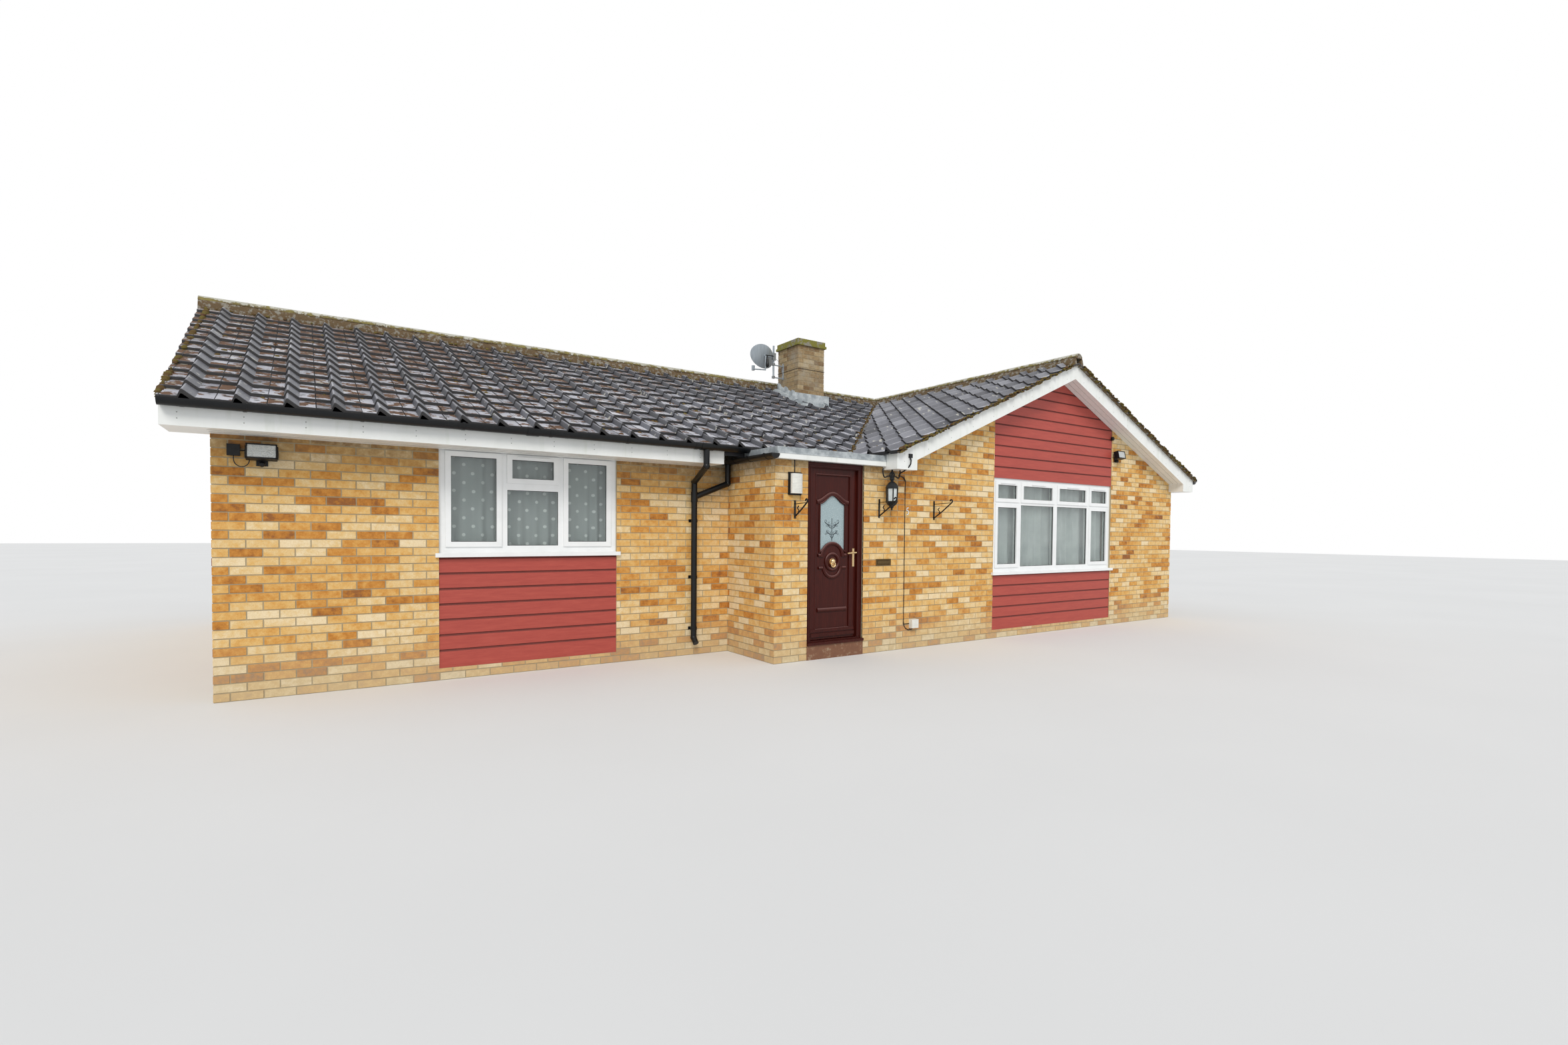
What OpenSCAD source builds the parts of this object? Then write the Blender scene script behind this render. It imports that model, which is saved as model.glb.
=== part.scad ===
// Bungalow: a main range along the street, a cross wing at its right with a street gable, and a porch
// infill under a flat lead edged canopy between them. Millimetres, Z up. The origin is the main range's
// left street corner at ground level, X runs right along the street front and Y runs into the house.

/* [Walls] */
// Length of the main range's street wall, from its left corner to the porch
front_wall_l = 4840; // [4640:10:5000]
// Width of the porch, from the main range's street wall to the cross wing
porch_w = 1815; // [1765:5:1860]
// Thickness of the outer walls, two leaves of brick and their cavity
wall_t = 250; // [230:5:270]
// Step of the porch and the wing's gable in front of the main range
wing_step = 1020; // [960:10:1100]
// Top of the ground floor above the ground
floor_z = 150; // [120:5:160]
// Underside of the ceiling above the ground
ceiling_z = 2400; // [2380:5:2410]
// Thickness of the ceiling, joists and board
ceiling_t = 95; // [70:5:95]

/* [Roof] */
// Plan distance from a fascia's face to its ridge, the same on both roofs, so that the ridges are level
half_span = 3530; // [3480:10:3600]
// Pitch of every slope in degrees
pitch = 23.5; // [22:0.5:25]
// Underside of the tiles at a fascia's face
eave_z = 2405; // [2400:1:2415]
// Eaves overhang of the main range
main_over = 420; // [400:5:440]
// Eaves overhang of the cross wing
wing_over = 250; // [240:5:270]
// Overhang of the main range's gable, to the outer face of its bargeboard
main_verge = 265; // [240:5:290]
// Overhang of the wing's gables, to the outer face of their bargeboards
wing_verge = 250; // [230:5:270]
// Depth of the rafters and boards under the tiles, measured upright
rafter_d = 100; // [80:5:110]
// Depth of the tiles and their battens, measured upright
tile_d = 80; // [60:5:90]
// Tile edge beyond a fascia or a bargeboard
tile_drip = 50; // [40:2:56]
// Half width of the open lead valley, across its line
valley_w = 62; // [50:2:80]
// Radius of the ridge tiles
ridge_r = 130; // [115:5:145]
// How far the ridge tiles stand above the meeting of the slopes
ridge_up = 76; // [60:2:90]

/* [Eaves] */
// Underside of the soffits and fascias
soffit_z = 2212; // [2205:1:2222]
// Top of the fascias
fascia_top = 2400; // [2392:1:2404]
// Thickness of fascias and bargeboards
board_t = 22; // [18:1:25]
// Thickness of the soffit boards
soffit_t = 10; // [8:1:14]
// Depth of a bargeboard, measured upright
barge_d = 212; // [200:2:225]
// Run of a boxed end past the wall corner
box_run = 80; // [70:5:100]
// Street fascia's end, short of the street wall's
fascia_short = 300; // [280:10:400]

/* [Canopy] */
// Underside of the canopy, and the top of the porch walls
canopy_z = 2250; // [2245:1:2255]
// Top of the canopy's lead
canopy_top = 2380; // [2372:1:2382]
// Reach of the lead edge in front of the porch wall
canopy_reach = 62; // [50:2:80]
// Reach of the lead edge beside the porch wall
canopy_side = 14; // [10:1:20]
// Depth of the lead edge
lead_d = 84; // [76:2:90]
// Thickness of the lead sheets
lead_t = 5; // [4:1:6]

/* [Gutters] */
// Radius of the half round gutters
gutter_r = 56; // [50:1:58]
// Wall of the gutters
gutter_t = 4; // [3:1:5]
// Rim of the eaves gutters above the ground
gutter_z = 2404; // [2400:1:2406]
// Gap between a gutter and its fascia
gutter_gap = 4; // [3:1:6]
// Rim of the canopy's gutter
side_gutter_z = 2296; // [2290:1:2296]
// Radius of the downpipes
pipe_r = 34; // [30:1:38]
// Axis of a downpipe in front of its wall
pipe_off = 60; // [52:1:70]
// Outlet of the street gutter, short of the street wall's end
outlet_in = 555; // [520:5:640]
// Street downpipe, short of the street wall's end
pipe_in = 490; // [460:5:510]
// Foot of the downpipes above the ground
pipe_foot = 150; // [100:10:200]
// Height at which the canopy's pipe joins the street downpipe
branch_z = 1846; // [1760:2:1880]

/* [Chimney] */
// Left face of the stack, past the wing's wall
stack_in = 855; // [745:10:905]
// Street face of the stack, short of the ridge
stack_out = 760; // [750:10:810]
// Width of the stack along the street
stack_w = 540; // [500:5:600]
// Depth of the stack
stack_l = 600; // [560:5:640]
// Top of the brickwork above the peak of the roof
stack_up = 598; // [560:2:630]
// Height of the cap's upright edge
cap_h = 110; // [90:5:130]
// Height of the cap's sloping top
cap_rise = 42; // [30:2:60]
// Overhang of the cap's upper block
cap_over = 18; // [10:1:25]
// Overhang of the cap's lower lip
cap_lip = 34; // [28:1:45]

/* [Left window] */
// Left edge of the opening, from the left corner
left_win_x = 1677; // [1600:1:1750]
// Width of the opening
left_win_w = 1758; // [1740:2:1800]
// Underside of the sill
left_win_z = 1180; // [1160:5:1200]
// Head of the opening
left_win_top = 2262; // [2255:1:2280]
// Width of the middle light's glass
left_mid_w = 505; // [480:5:530]

/* [Gable window] */
// Left edge of the opening, past the wing's wall
gable_win_in = 1807; // [1745:1:1865]
// Width of the opening
gable_win_w = 2876; // [2850:2:2900]
// Underside of the sill
gable_win_z = 878; // [860:2:900]
// Head of the opening
gable_win_top = 2231; // [2220:1:2245]
// Width of the glass in one fixed light
gable_mid_w = 768; // [740:4:780]

/* [Window sections] */
// Height of a sill
sill_h = 40; // [30:1:50]
// Reach of a sill in front of the wall
sill_reach = 38; // [25:1:50]
// Horn of a sill past the opening, at each side
sill_horn = 34; // [20:2:60]
// Face width of the frame round a window
frame_w = 54; // [48:1:60]
// Depth of the frame
frame_d = 66; // [55:1:75]
// Set back of a frame from the wall's face
frame_back = 24; // [18:1:30]
// Face width of a sash
sash_w = 54; // [48:1:58]
// Reach of a sash in front of its frame
sash_up = 12; // [8:1:16]
// Face width of a mullion or transom
mullion_w = 64; // [55:1:72]
// Bead round a fixed light
bead_w = 14; // [8:1:18]
// Height of a top light's glass
top_light_h = 188; // [170:2:200]
// Thickness of the sealed glass units
glass_t = 24; // [18:1:28]

/* [Red boards] */
// Cover of one shiplap board
board_h = 148; // [140:1:160]
// Height of the lowest board under a window
first_board = 178; // [150:2:190]
// Height of the lowest board over the gable window
head_board = 162; // [150:2:180]
// Thickness of a board
clad_t = 20; // [16:1:24]
// Depth of the groove between boards
groove_d = 9; // [6:1:11]
// Height of the groove between boards
groove_h = 22; // [16:1:30]
// Bottom of the boards above the ground
clad_z = 114; // [80:2:150]
// Set back of the boards' faces from the brick
clad_back = 6; // [3:1:9]

/* [Front door] */
// Brick pier between the porch corner and the doorway
pier_w = 440; // [420:5:460]
// Width of the doorway
door_w = 825; // [815:5:840]
// Top of the threshold
sill_z = 165; // [160:1:170]
// Face width of the door frame
jamb_w = 68; // [62:1:75]
// Depth of the door frame
jamb_d = 90; // [80:2:100]
// Set back of the door frame
jamb_back = 25; // [18:1:32]
// Height of the frame's own sill
door_sill_h = 44; // [36:1:50]
// Depth of the stop in front of the leaf
stop_d = 30; // [26:1:34]
// Lap of the stop over the leaf's edge
stop_lap = 7; // [4:1:8]
// Clearance round the leaf
leaf_gap = 5; // [5:0.5:8]
// Radius of the hinge pins
pin_r = 4; // [3:0.5:5]
// Radius of the hinge knuckles
knuckle_r = 8; // [7:0.5:9]
// Height of a hinge
hinge_h = 90; // [75:3:105]
// Running clearance of a knuckle on its pin
pin_gap = 0.3; // [0.2:0.1:0.5]
// Thickness of the leaf
leaf_t = 50; // [44:1:56]
// Set back of the leaf's panels from its stiles
panel_back = 15; // [8:1:18]
// Width of the stiles
stile_w = 96; // [86:1:102]
// Height of the top rail
top_rail = 78; // [64:2:90]
// Height of the bottom rail
bottom_rail = 110; // [90:5:130]
// Reach of the mouldings in front of the panels
mould_up = 11; // [7:1:13]
// Half width of the door glass
light_r = 180; // [165:1:185]
// Height of the glass at its sides, above the leaf's foot
light_low = 1012; // [1000:1:1030]
// Rise of the arch below the glass
arch_rise = 92; // [80:2:100]
// Shoulders of the glass above the leaf's foot
light_top = 1562; // [1540:1:1580]
// Rise of the wave over the glass
wave_rise = 98; // [80:2:110]
// Width of the wave and arch mouldings
mould_w = 46; // [38:1:52]
// Centre of the round moulding above the leaf's foot
ring_h = 892; // [880:1:900]
// Outer radius of the round moulding
ring_r = 108; // [100:1:112]
// Height of the handle above the leaf's foot
handle_h = 998; // [960:2:1020]

/* [Fittings] */
// Porch lantern, short of the wing's wall
lantern_in = 203; // [155:2:205]
// Porch lantern's axis in front of the wing's wall
lantern_out = 115; // [105:1:125]
// Bulkhead light, past the street wall's end
bulkhead_in = 253; // [240:1:270]
// Centre of the bulkhead light above the ground
bulkhead_z = 1987; // [1950:1:2020]
// Floodlight on the left wall, from the left corner
flood_x = 335; // [320:5:400]
// Centre of the floodlight above the ground
flood_z = 2068; // [2040:1:2080]
// Security light on the gable, past the ridge
security_in = 1505; // [1465:5:1665]
// Centre of the security light above the ground
security_z = 2725; // [2700:1:2740]
// Places of the first two hanging basket brackets, from the middle of each door pier
bracket_shift = [40, -35];
// Third bracket, past the wing's wall
bracket_in = 630; // [600:5:680]
// Reach of the three brackets
bracket_reach = [235, 300, 310];
// Foot of the three brackets
bracket_z = [1602, 1632, 1624];
// Height of a bracket's wall plate
bracket_h = 226; // [190:2:250]
// Thickness of a bracket's bar
bar_t = 12; // [10:1:14]
// Right edge of the letter plate, short of the wing's wall
letter_in = 109; // [90:1:112]
// Size of the letter plate
plate_size = [240, 12, 80];
// Underside of the letter plate
letter_z = 1053; // [1040:1:1070]
// Outside socket, past the wing's wall
socket_in = 215; // [205:5:245]
// Underside of the outside socket
socket_z = 259; // [240:1:280]
// Left edge of the house number, past the wing's wall
number_in = 136; // [120:2:150]
// Height of the house number
number_z = 1674; // [1650:1:1690]
// Width of the satellite dish
dish_w = 620; // [560:5:640]
// Height of the satellite dish
dish_h = 400; // [380:5:430]
// Thickness of the dish
dish_t = 8; // [6:1:10]
// Dish mast, measured from the stack's left face
mast_out = 205; // [180:5:240]

/* [Hidden] */
$fn = 48;
wing_x = front_wall_l + porch_w;
fascia_end = front_wall_l - fascia_short;
outlet_x = front_wall_l - outlet_in;
pipe_x = front_wall_l - pipe_in;
slope = tan(pitch);
main_d = 2 * (half_span - main_over);
wing_w = 2 * (half_span - wing_over);
wing_end = wing_x + wing_w;
ridge_y = main_d / 2;
ridge_x = wing_x + wing_w / 2;
swing_gap = 4;
bed = 0.2;
wing_eave = wing_x - wing_over;
right_eave = wing_end + wing_over;
front_y = -wing_step;
back_y = main_d + wing_step;
door_x = front_wall_l + pier_w;
door_end = door_x + door_w;
stack_x = wing_x + stack_in;
stack_y = ridge_y - stack_out;
stack_z = top(half_span) + stack_up;
gable_win_x = wing_x + gable_win_in;
lantern_x = wing_x - lantern_in;
bulkhead_x = front_wall_l + bulkhead_in;
security_x = ridge_x + security_in;
letter_x = wing_x - letter_in - plate_size[0];
socket_x = wing_x + socket_in;
bracket_x = [(front_wall_l + door_x) / 2 + bracket_shift[0], (door_end + wing_x) / 2 + bracket_shift[1],
             wing_x + bracket_in];
canopy_x = front_wall_l - canopy_side;
canopy_y = front_y - canopy_reach;
far = 12000;
eps = 1;
brick_gold = "#d9b070";
tile_grey = "#55504e";
upvc = "#eef0ee";
rosewood = "#4a1f20";
lead_grey = "#a9b2b8";

// Height of the tiles' underside at a plan distance s from a fascia's face
function deck(s) = eave_z + slope * s;
// Height of the rafters' underside
function under(s) = deck(s) - rafter_d;
// Height of the tiles' top
function top(s) = deck(s) + tile_d;

// Extrudes a profile drawn in Y and Z along X
module along_x(x0, x1) {
    translate([x0, 0, 0]) rotate([90, 0, 90]) linear_extrude(x1 - x0) children();
}

// Extrudes a profile drawn in X and Z along Y
module along_y(y0, y1) {
    translate([0, y1, 0]) rotate([90, 0, 0]) linear_extrude(y1 - y0) children();
}

// A block between two corners
module block(a, b) {
    translate(a) cube(b - a);
}

// A round bar from one point to another
module bar(a, b, r) {
    d = b - a;
    l = norm(d);
    translate(a) rotate([0, acos(d[2] / l), atan2(d[1], d[0])]) cylinder(r = r, h = l);
}

// The mirror image at the rear of what stands at the street side
module at_rear() {
    translate([0, main_d, 0]) mirror([0, 1, 0]) children();
}

// The mirror image about the wing's ridge
module other_wing_side() {
    translate([2 * ridge_x, 0, 0]) mirror([1, 0, 0]) children();
}

// Both gables or both slopes of the main range
module both_ends() {
    children();
    at_rear() children();
}

// The opening for the left window, with its boards below
module left_window_opening() {
    block([left_win_x, -eps, left_win_z], [left_win_x + left_win_w, wall_t + eps, left_win_top]);
    block([left_win_x, -eps, clad_z], [left_win_x + left_win_w, clad_back + clad_t, left_win_z + eps]);
}

// The opening for the gable window, with boards below it and up to the roof
module gable_window_opening() {
    x1 = gable_win_x + gable_win_w;
    block([gable_win_x, front_y - eps, gable_win_z], [x1, front_y + wall_t + eps, gable_win_top]);
    block([gable_win_x, front_y - eps, clad_z], [x1, front_y + clad_back + clad_t, gable_win_z + eps]);
    block([gable_win_x, front_y - eps, gable_win_top - eps],
          [x1, front_y + clad_back + clad_t, under(half_span) + eps]);
}

// Profile of an eaves wall under the rafters, its outer face at 0
module eaves_wall_profile(over) {
    polygon([[0, 0], [wall_t, 0], [wall_t, under(over + wall_t)], [0, under(over)]]);
}

module floor_slab() {
    color("#9a958c") {
        block([wall_t, wall_t, 0], [wing_end - wall_t, main_d - wall_t, floor_z]);
        block([front_wall_l + wall_t, front_y + wall_t, 0], [wing_end - wall_t, wall_t, floor_z]);
        block([wing_x + wall_t, main_d - wall_t, 0], [wing_end - wall_t, back_y - wall_t, floor_z]);
    }
}

module ceiling() {
    color("#f4f2ec") {
        block([wall_t, wall_t, ceiling_z], [wing_end - wall_t, main_d - wall_t, ceiling_z + ceiling_t]);
        block([wing_x + wall_t, front_y + wall_t, ceiling_z],
              [wing_end - wall_t, wall_t, ceiling_z + ceiling_t]);
        block([wing_x + wall_t, main_d - wall_t, ceiling_z],
              [wing_end - wall_t, back_y - wall_t, ceiling_z + ceiling_t]);
    }
}

module front_wall_left() {
    color(brick_gold) difference() {
        along_x(0, front_wall_l + wall_t) eaves_wall_profile(main_over);
        left_window_opening();
    }
}

module left_gable_wall() {
    low = under(main_over + wall_t);
    color(brick_gold) along_x(0, wall_t)
        polygon([[wall_t, 0], [main_d - wall_t, 0], [main_d - wall_t, low],
                 [ridge_y, under(half_span)], [wall_t, low]]);
}

module rear_wall() {
    color(brick_gold) at_rear() {
        difference() {
            along_x(0, wing_x + wall_t) eaves_wall_profile(main_over);
            left_window_opening();
        }
        along_y(front_y + wall_t, 0) translate([wing_x, 0]) eaves_wall_profile(wing_over);
    }
}

module right_wall() {
    color(brick_gold) other_wing_side() along_y(front_y + wall_t, back_y - wall_t)
        translate([wing_x, 0]) eaves_wall_profile(wing_over);
}

// The wing's street gable, which stands for its rear one too
module wing_gable() {
    color(brick_gold) difference() {
        along_y(front_y, front_y + wall_t)
            polygon([[wing_x, 0], [wing_end, 0], [wing_end, under(wing_over)],
                     [ridge_x, under(half_span)], [wing_x, under(wing_over)]]);
        gable_window_opening();
    }
}

module wing_front_wall() { wing_gable(); }

module wing_rear_wall() { at_rear() wing_gable(); }

module porch_side_wall() {
    color(brick_gold) block([front_wall_l, front_y + wall_t, 0], [front_wall_l + wall_t, 0, canopy_z]);
}

module door_pier_left() {
    color(brick_gold) block([front_wall_l, front_y, 0], [door_x, front_y + wall_t, canopy_z]);
}

// The right pier is lower where the wing's boxed eaves pass over it
module door_pier_right() {
    color(brick_gold) along_y(front_y, front_y + wall_t)
        polygon([[door_end, 0], [wing_x, 0], [wing_x, soffit_z], [wing_eave, soffit_z],
                 [wing_eave, canopy_z], [door_end, canopy_z]]);
}

module door_threshold() {
    color("#8c6a4c") block([door_x, front_y - 12, 0], [door_end, front_y + wall_t, sill_z]);
}

// Profile of a slope's rafters and of its tiles, s running in from the fascia's face
module rafter_profile() {
    polygon([[board_t, under(board_t)], [half_span, under(half_span)],
             [half_span, deck(half_span)], [board_t, deck(board_t)]]);
}

module tile_profile() {
    polygon([[-tile_drip, deck(-tile_drip)], [half_span, deck(half_span)],
             [half_span, top(half_span)], [-tile_drip, top(-tile_drip)]]);
}

// Plan of the ground on the main range's side of the front valley, kept off its line by a cut
module beside_valley(cut) {
    shift = cut * sqrt(2);
    translate([0, 0, -eps]) linear_extrude(2 * far)
        polygon([[-far, -main_over - 2 * tile_drip], [wing_eave - 2 * tile_drip - shift, -main_over - 2 * tile_drip],
                 [wing_eave + half_span - shift, ridge_y], [-far, ridge_y]]);
}

// The same on the wing's side
module beyond_valley(cut) {
    shift = cut * sqrt(2);
    translate([0, 0, -eps]) linear_extrude(2 * far)
        polygon([[wing_eave - far / 2, -far], [ridge_x, -far], [ridge_x, ridge_y - shift],
                 [wing_eave - far / 2, ridge_y - shift - half_span - far / 2]]);
}

module main_front_slope() {
    difference() {
        intersection() {
            along_x(-main_verge + board_t, ridge_x) translate([-main_over, 0]) rafter_profile();
            beside_valley(0);
        }
        along_x(canopy_x, wing_eave)
            polygon([[-main_over, 0], [0, 0], [0, deck(main_over)], [-main_over, deck(0)]]);
    }
    intersection() {
        along_x(-main_verge - tile_drip, ridge_x) translate([-main_over, 0]) tile_profile();
        beside_valley(valley_w);
    }
}

module stack_block(grow, z0, z1) {
    block([stack_x - grow, stack_y - grow, z0], [stack_x + stack_w + grow, stack_y + stack_l + grow, z1]);
}

module roof_main_front() {
    color(tile_grey) difference() {
        main_front_slope();
        stack_block(0, 0, far);
    }
}

// The rear slope has no canopy below it
module roof_main_rear() {
    color(tile_grey) at_rear() {
        intersection() {
            along_x(-main_verge + board_t, ridge_x) translate([-main_over, 0]) rafter_profile();
            beside_valley(0);
        }
        intersection() {
            along_x(-main_verge - tile_drip, ridge_x) translate([-main_over, 0]) tile_profile();
            beside_valley(valley_w);
        }
    }
}

module wing_left_slope() {
    intersection() {
        along_y(front_y - wing_verge + board_t, ridge_y) translate([wing_eave, 0]) rafter_profile();
        beyond_valley(0);
    }
    intersection() {
        along_y(front_y - wing_verge - tile_drip, ridge_y) translate([wing_eave, 0]) tile_profile();
        beyond_valley(valley_w);
    }
}

module roof_wing_front_left() { color(tile_grey) wing_left_slope(); }

module roof_wing_rear_left() { color(tile_grey) at_rear() wing_left_slope(); }

module roof_wing_right() {
    color(tile_grey) other_wing_side() {
        along_y(front_y - wing_verge + board_t, back_y + wing_verge - board_t)
            translate([wing_eave, 0]) rafter_profile();
        along_y(front_y - wing_verge - tile_drip, back_y + wing_verge + tile_drip)
            translate([wing_eave, 0]) tile_profile();
    }
}

// Cross section of a ridge tile, and of the two slopes that it is bedded on, centred on the ridge
module ridge_round() {
    translate([0, top(half_span) + ridge_up - ridge_r]) circle(ridge_r);
}

module slopes_below() {
    peak = top(half_span) + bed;
    polygon([[0, peak], [far, peak - slope * far], [-far, peak - slope * far]]);
}

module ridge_tiles() {
    color("#5c5650") difference() {
        union() {
            along_y(front_y - wing_verge - tile_drip, back_y + wing_verge + tile_drip)
                translate([ridge_x, 0]) ridge_round();
            along_x(-main_verge - tile_drip, ridge_x) translate([ridge_y, 0]) ridge_round();
        }
        along_y(-far, far) translate([ridge_x, 0]) slopes_below();
        along_x(-far, ridge_x) translate([ridge_y, 0]) slopes_below();
    }
}

// Lead sheet on the deck of a slope
module lead_sheet() {
    translate([0, bed])
        polygon([[-tile_drip, deck(-tile_drip)], [half_span, deck(half_span)],
                 [half_span, deck(half_span) + lead_t], [-tile_drip, deck(-tile_drip) + lead_t]]);
}

// Section of lead that stands on the tiles, up to a height h over them
module lead_on_tiles(h) {
    translate([0, bed])
        polygon([[0, top(0)], [half_span, top(half_span)], [half_span, top(half_span) + h], [0, top(0) + h]]);
}

// One valley, a sheet on each slope
module valley_lining() {
    intersection() {
        along_x(0, ridge_x) translate([-main_over, 0]) lead_sheet();
        difference() {
            beside_valley(0);
            beside_valley(valley_w - bed);
        }
    }
    intersection() {
        along_y(front_y, ridge_y) translate([wing_eave, 0]) lead_sheet();
        difference() {
            beyond_valley(0);
            beyond_valley(valley_w - bed);
        }
    }
}

// A sheet of lead round the stack, lying on the tiles, with an upstand against the brick
module stack_flashing() {
    skirt = 110;
    back_skirt = 30;
    upstand = 120;
    difference() {
        intersection() {
            along_x(0, ridge_x) translate([-main_over, 0]) lead_on_tiles(lead_t);
            block([stack_x - skirt, stack_y - skirt, 0],
                  [stack_x + stack_w + skirt, stack_y + stack_l + back_skirt, far]);
        }
        stack_block(0, 0, far);
    }
    difference() {
        intersection() {
            along_x(0, ridge_x) translate([-main_over, 0]) lead_on_tiles(upstand);
            stack_block(lead_t, 0, far);
        }
        stack_block(0, 0, far);
    }
}

module lead_flashings() {
    color(lead_grey) {
        both_ends() valley_lining();
        stack_flashing();
    }
}

module fascias() {
    strip_t = 18;
    color(upvc) {
        block([-main_verge + board_t, -main_over, soffit_z], [fascia_end, board_t - main_over, fascia_top]);
        block([wing_eave, front_y - wing_verge + board_t, soffit_z],
              [wing_eave + board_t, -main_over, fascia_top]);
        other_wing_side()
            block([wing_eave, front_y - wing_verge + board_t, soffit_z],
                  [wing_eave + board_t, back_y + wing_verge - board_t, fascia_top]);
        at_rear() {
            block([-main_verge + board_t, -main_over, soffit_z],
                  [wing_eave + board_t, board_t - main_over, fascia_top]);
            block([wing_eave, front_y - wing_verge + board_t, soffit_z],
                  [wing_eave + board_t, -main_over, fascia_top]);
        }
        block([canopy_x + strip_t, front_y - strip_t, canopy_z],
              [wing_eave, front_y, canopy_top - lead_d]);
    }
}

// Section of a boxed gable soffit, from the fascia round the box and up the slope to the ridge
module box_soffit_profile(over) {
    s = over + box_run;
    lift = 8;
    low = deck(s) - barge_d + lift;
    high = deck(half_span) - barge_d + lift;
    polygon([[board_t, soffit_z], [s, soffit_z], [s, low], [half_span, high],
             [half_span, high + soffit_t], [s - soffit_t, low + soffit_t],
             [s - soffit_t, soffit_z + soffit_t], [board_t, soffit_z + soffit_t]]);
}

module soffits() {
    top_z = soffit_z + soffit_t;
    color(upvc) {
        both_ends() {
            along_x(-main_verge + board_t, 0) translate([-main_over, 0]) box_soffit_profile(main_over);
            along_y(front_y - wing_verge + board_t, front_y) {
                translate([wing_eave, 0]) box_soffit_profile(wing_over);
                translate([2 * ridge_x - wing_eave, 0]) mirror([1, 0]) box_soffit_profile(wing_over);
            }
        }
        block([0, board_t - main_over, soffit_z], [fascia_end, 0, top_z]);
        block([wing_eave + board_t, front_y, soffit_z], [wing_x, board_t - main_over, top_z]);
        other_wing_side()
            block([wing_eave + board_t, front_y, soffit_z], [wing_x, back_y, top_z]);
        at_rear() {
            block([0, board_t - main_over, soffit_z], [wing_x, 0, top_z]);
            block([wing_eave + board_t, front_y, soffit_z], [wing_x, board_t - main_over, top_z]);
        }
    }
}

// A bargeboard with its boxed foot, from the fascia's face to the ridge
module barge_profile(over) {
    s = over + box_run;
    polygon([[0, soffit_z], [s, soffit_z], [s, deck(s) - barge_d],
             [half_span, deck(half_span) - barge_d], [half_span, deck(half_span)], [0, deck(0)]]);
}

module bargeboards() {
    color(upvc) both_ends() {
        along_x(-main_verge, -main_verge + board_t) translate([-main_over, 0]) barge_profile(main_over);
        along_y(front_y - wing_verge, front_y - wing_verge + board_t) {
            translate([wing_eave, 0]) barge_profile(wing_over);
            translate([2 * ridge_x - wing_eave, 0]) mirror([1, 0]) barge_profile(wing_over);
        }
    }
}

// Half round gutter with closed ends along X, its rim at z = 0 and its axis on the X axis
module half_round(x0, x1) {
    difference() {
        intersection() {
            translate([x0, 0, 0]) rotate([0, 90, 0]) cylinder(r = gutter_r, h = x1 - x0);
            block([x0 - eps, -far, -2 * gutter_r], [x1 + eps, far, 0]);
        }
        translate([x0 + gutter_t, 0, 0]) rotate([0, 90, 0])
            cylinder(r = gutter_r - gutter_t, h = x1 - x0 - 2 * gutter_t);
    }
}

// Gutter along X in front of a fascia at y = 0, its back edge cut down to pass under the tiles,
// with a bracket near each end and between
module eaves_gutter(x0, x1) {
    brackets = max(2, ceil((x1 - x0) / 1000));
    clip = 30;
    inset = 120;
    under_tiles = 1;
    axis_y = -gutter_gap - gutter_r;
    edge = -tile_drip - under_tiles;
    difference() {
        union() {
            translate([0, axis_y, 0]) half_round(x0, x1);
            for (i = [0 : brackets - 1]) {
                x = x0 + inset + i * (x1 - x0 - 2 * inset - clip) / (brackets - 1);
                difference() {
                    block([x, axis_y, -gutter_r * 0.9], [x + clip, 0, -gutter_r * 0.15]);
                    translate([x - eps, axis_y, 0]) rotate([0, 90, 0])
                        cylinder(r = gutter_r - gutter_t / 2, h = clip + 2 * eps);
                }
            }
        }
        along_x(x0 - eps, x1 + eps)
            polygon([[edge, deck(edge) - under_tiles - gutter_z], [eps, deck(eps) - under_tiles - gutter_z],
                     [eps, gutter_r], [edge, gutter_r]]);
    }
}

module gutters() {
    side_x = canopy_x - gutter_r;
    color("#1d1e20") {
        translate([0, -main_over, gutter_z]) eaves_gutter(-main_verge, canopy_x - gutter_gap);
        translate([right_eave, 0, gutter_z]) rotate([0, 0, 90])
            eaves_gutter(front_y - wing_verge, back_y + wing_verge);
        at_rear() {
            translate([0, -main_over, gutter_z])
                eaves_gutter(-main_verge, wing_eave - tile_drip - gutter_gap);
            translate([wing_eave, 0, gutter_z]) mirror([1, 0, 0]) rotate([0, 0, 90])
                eaves_gutter(front_y - wing_verge, -main_over - 2 * (gutter_gap + gutter_r));
        }
        translate([side_x, 0, side_gutter_z]) rotate([0, 0, 90]) half_round(canopy_y - 50, -gutter_gap);
        for (y = [front_y + 60, -240]) difference() {
            block([side_x, y, side_gutter_z - 50], [front_wall_l, y + 30, side_gutter_z - 8]);
            translate([side_x, y - eps, side_gutter_z]) rotate([-90, 0, 0])
                cylinder(r = gutter_r - gutter_t / 2, h = 30 + 2 * eps);
        }
    }
}

// A round pipe along a list of points, with a socket ring at each bend. Its top is cut to the
// outside of the gutter, whose axis runs along X or along Y through the point over the first one.
module pipe_run(points, rim_z, along_y = false) {
    first = points[0];
    difference() {
        bar(points[0], points[1], pipe_r);
        translate([first[0], first[1], rim_z]) rotate(along_y ? [90, 0, 0] : [0, 90, 0])
            cylinder(r = gutter_r, h = 400, center = true);
    }
    for (i = [1 : len(points) - 2]) {
        bar(points[i], points[i + 1], pipe_r);
        translate(points[i]) sphere(r = pipe_r + 4);
    }
}

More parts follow.
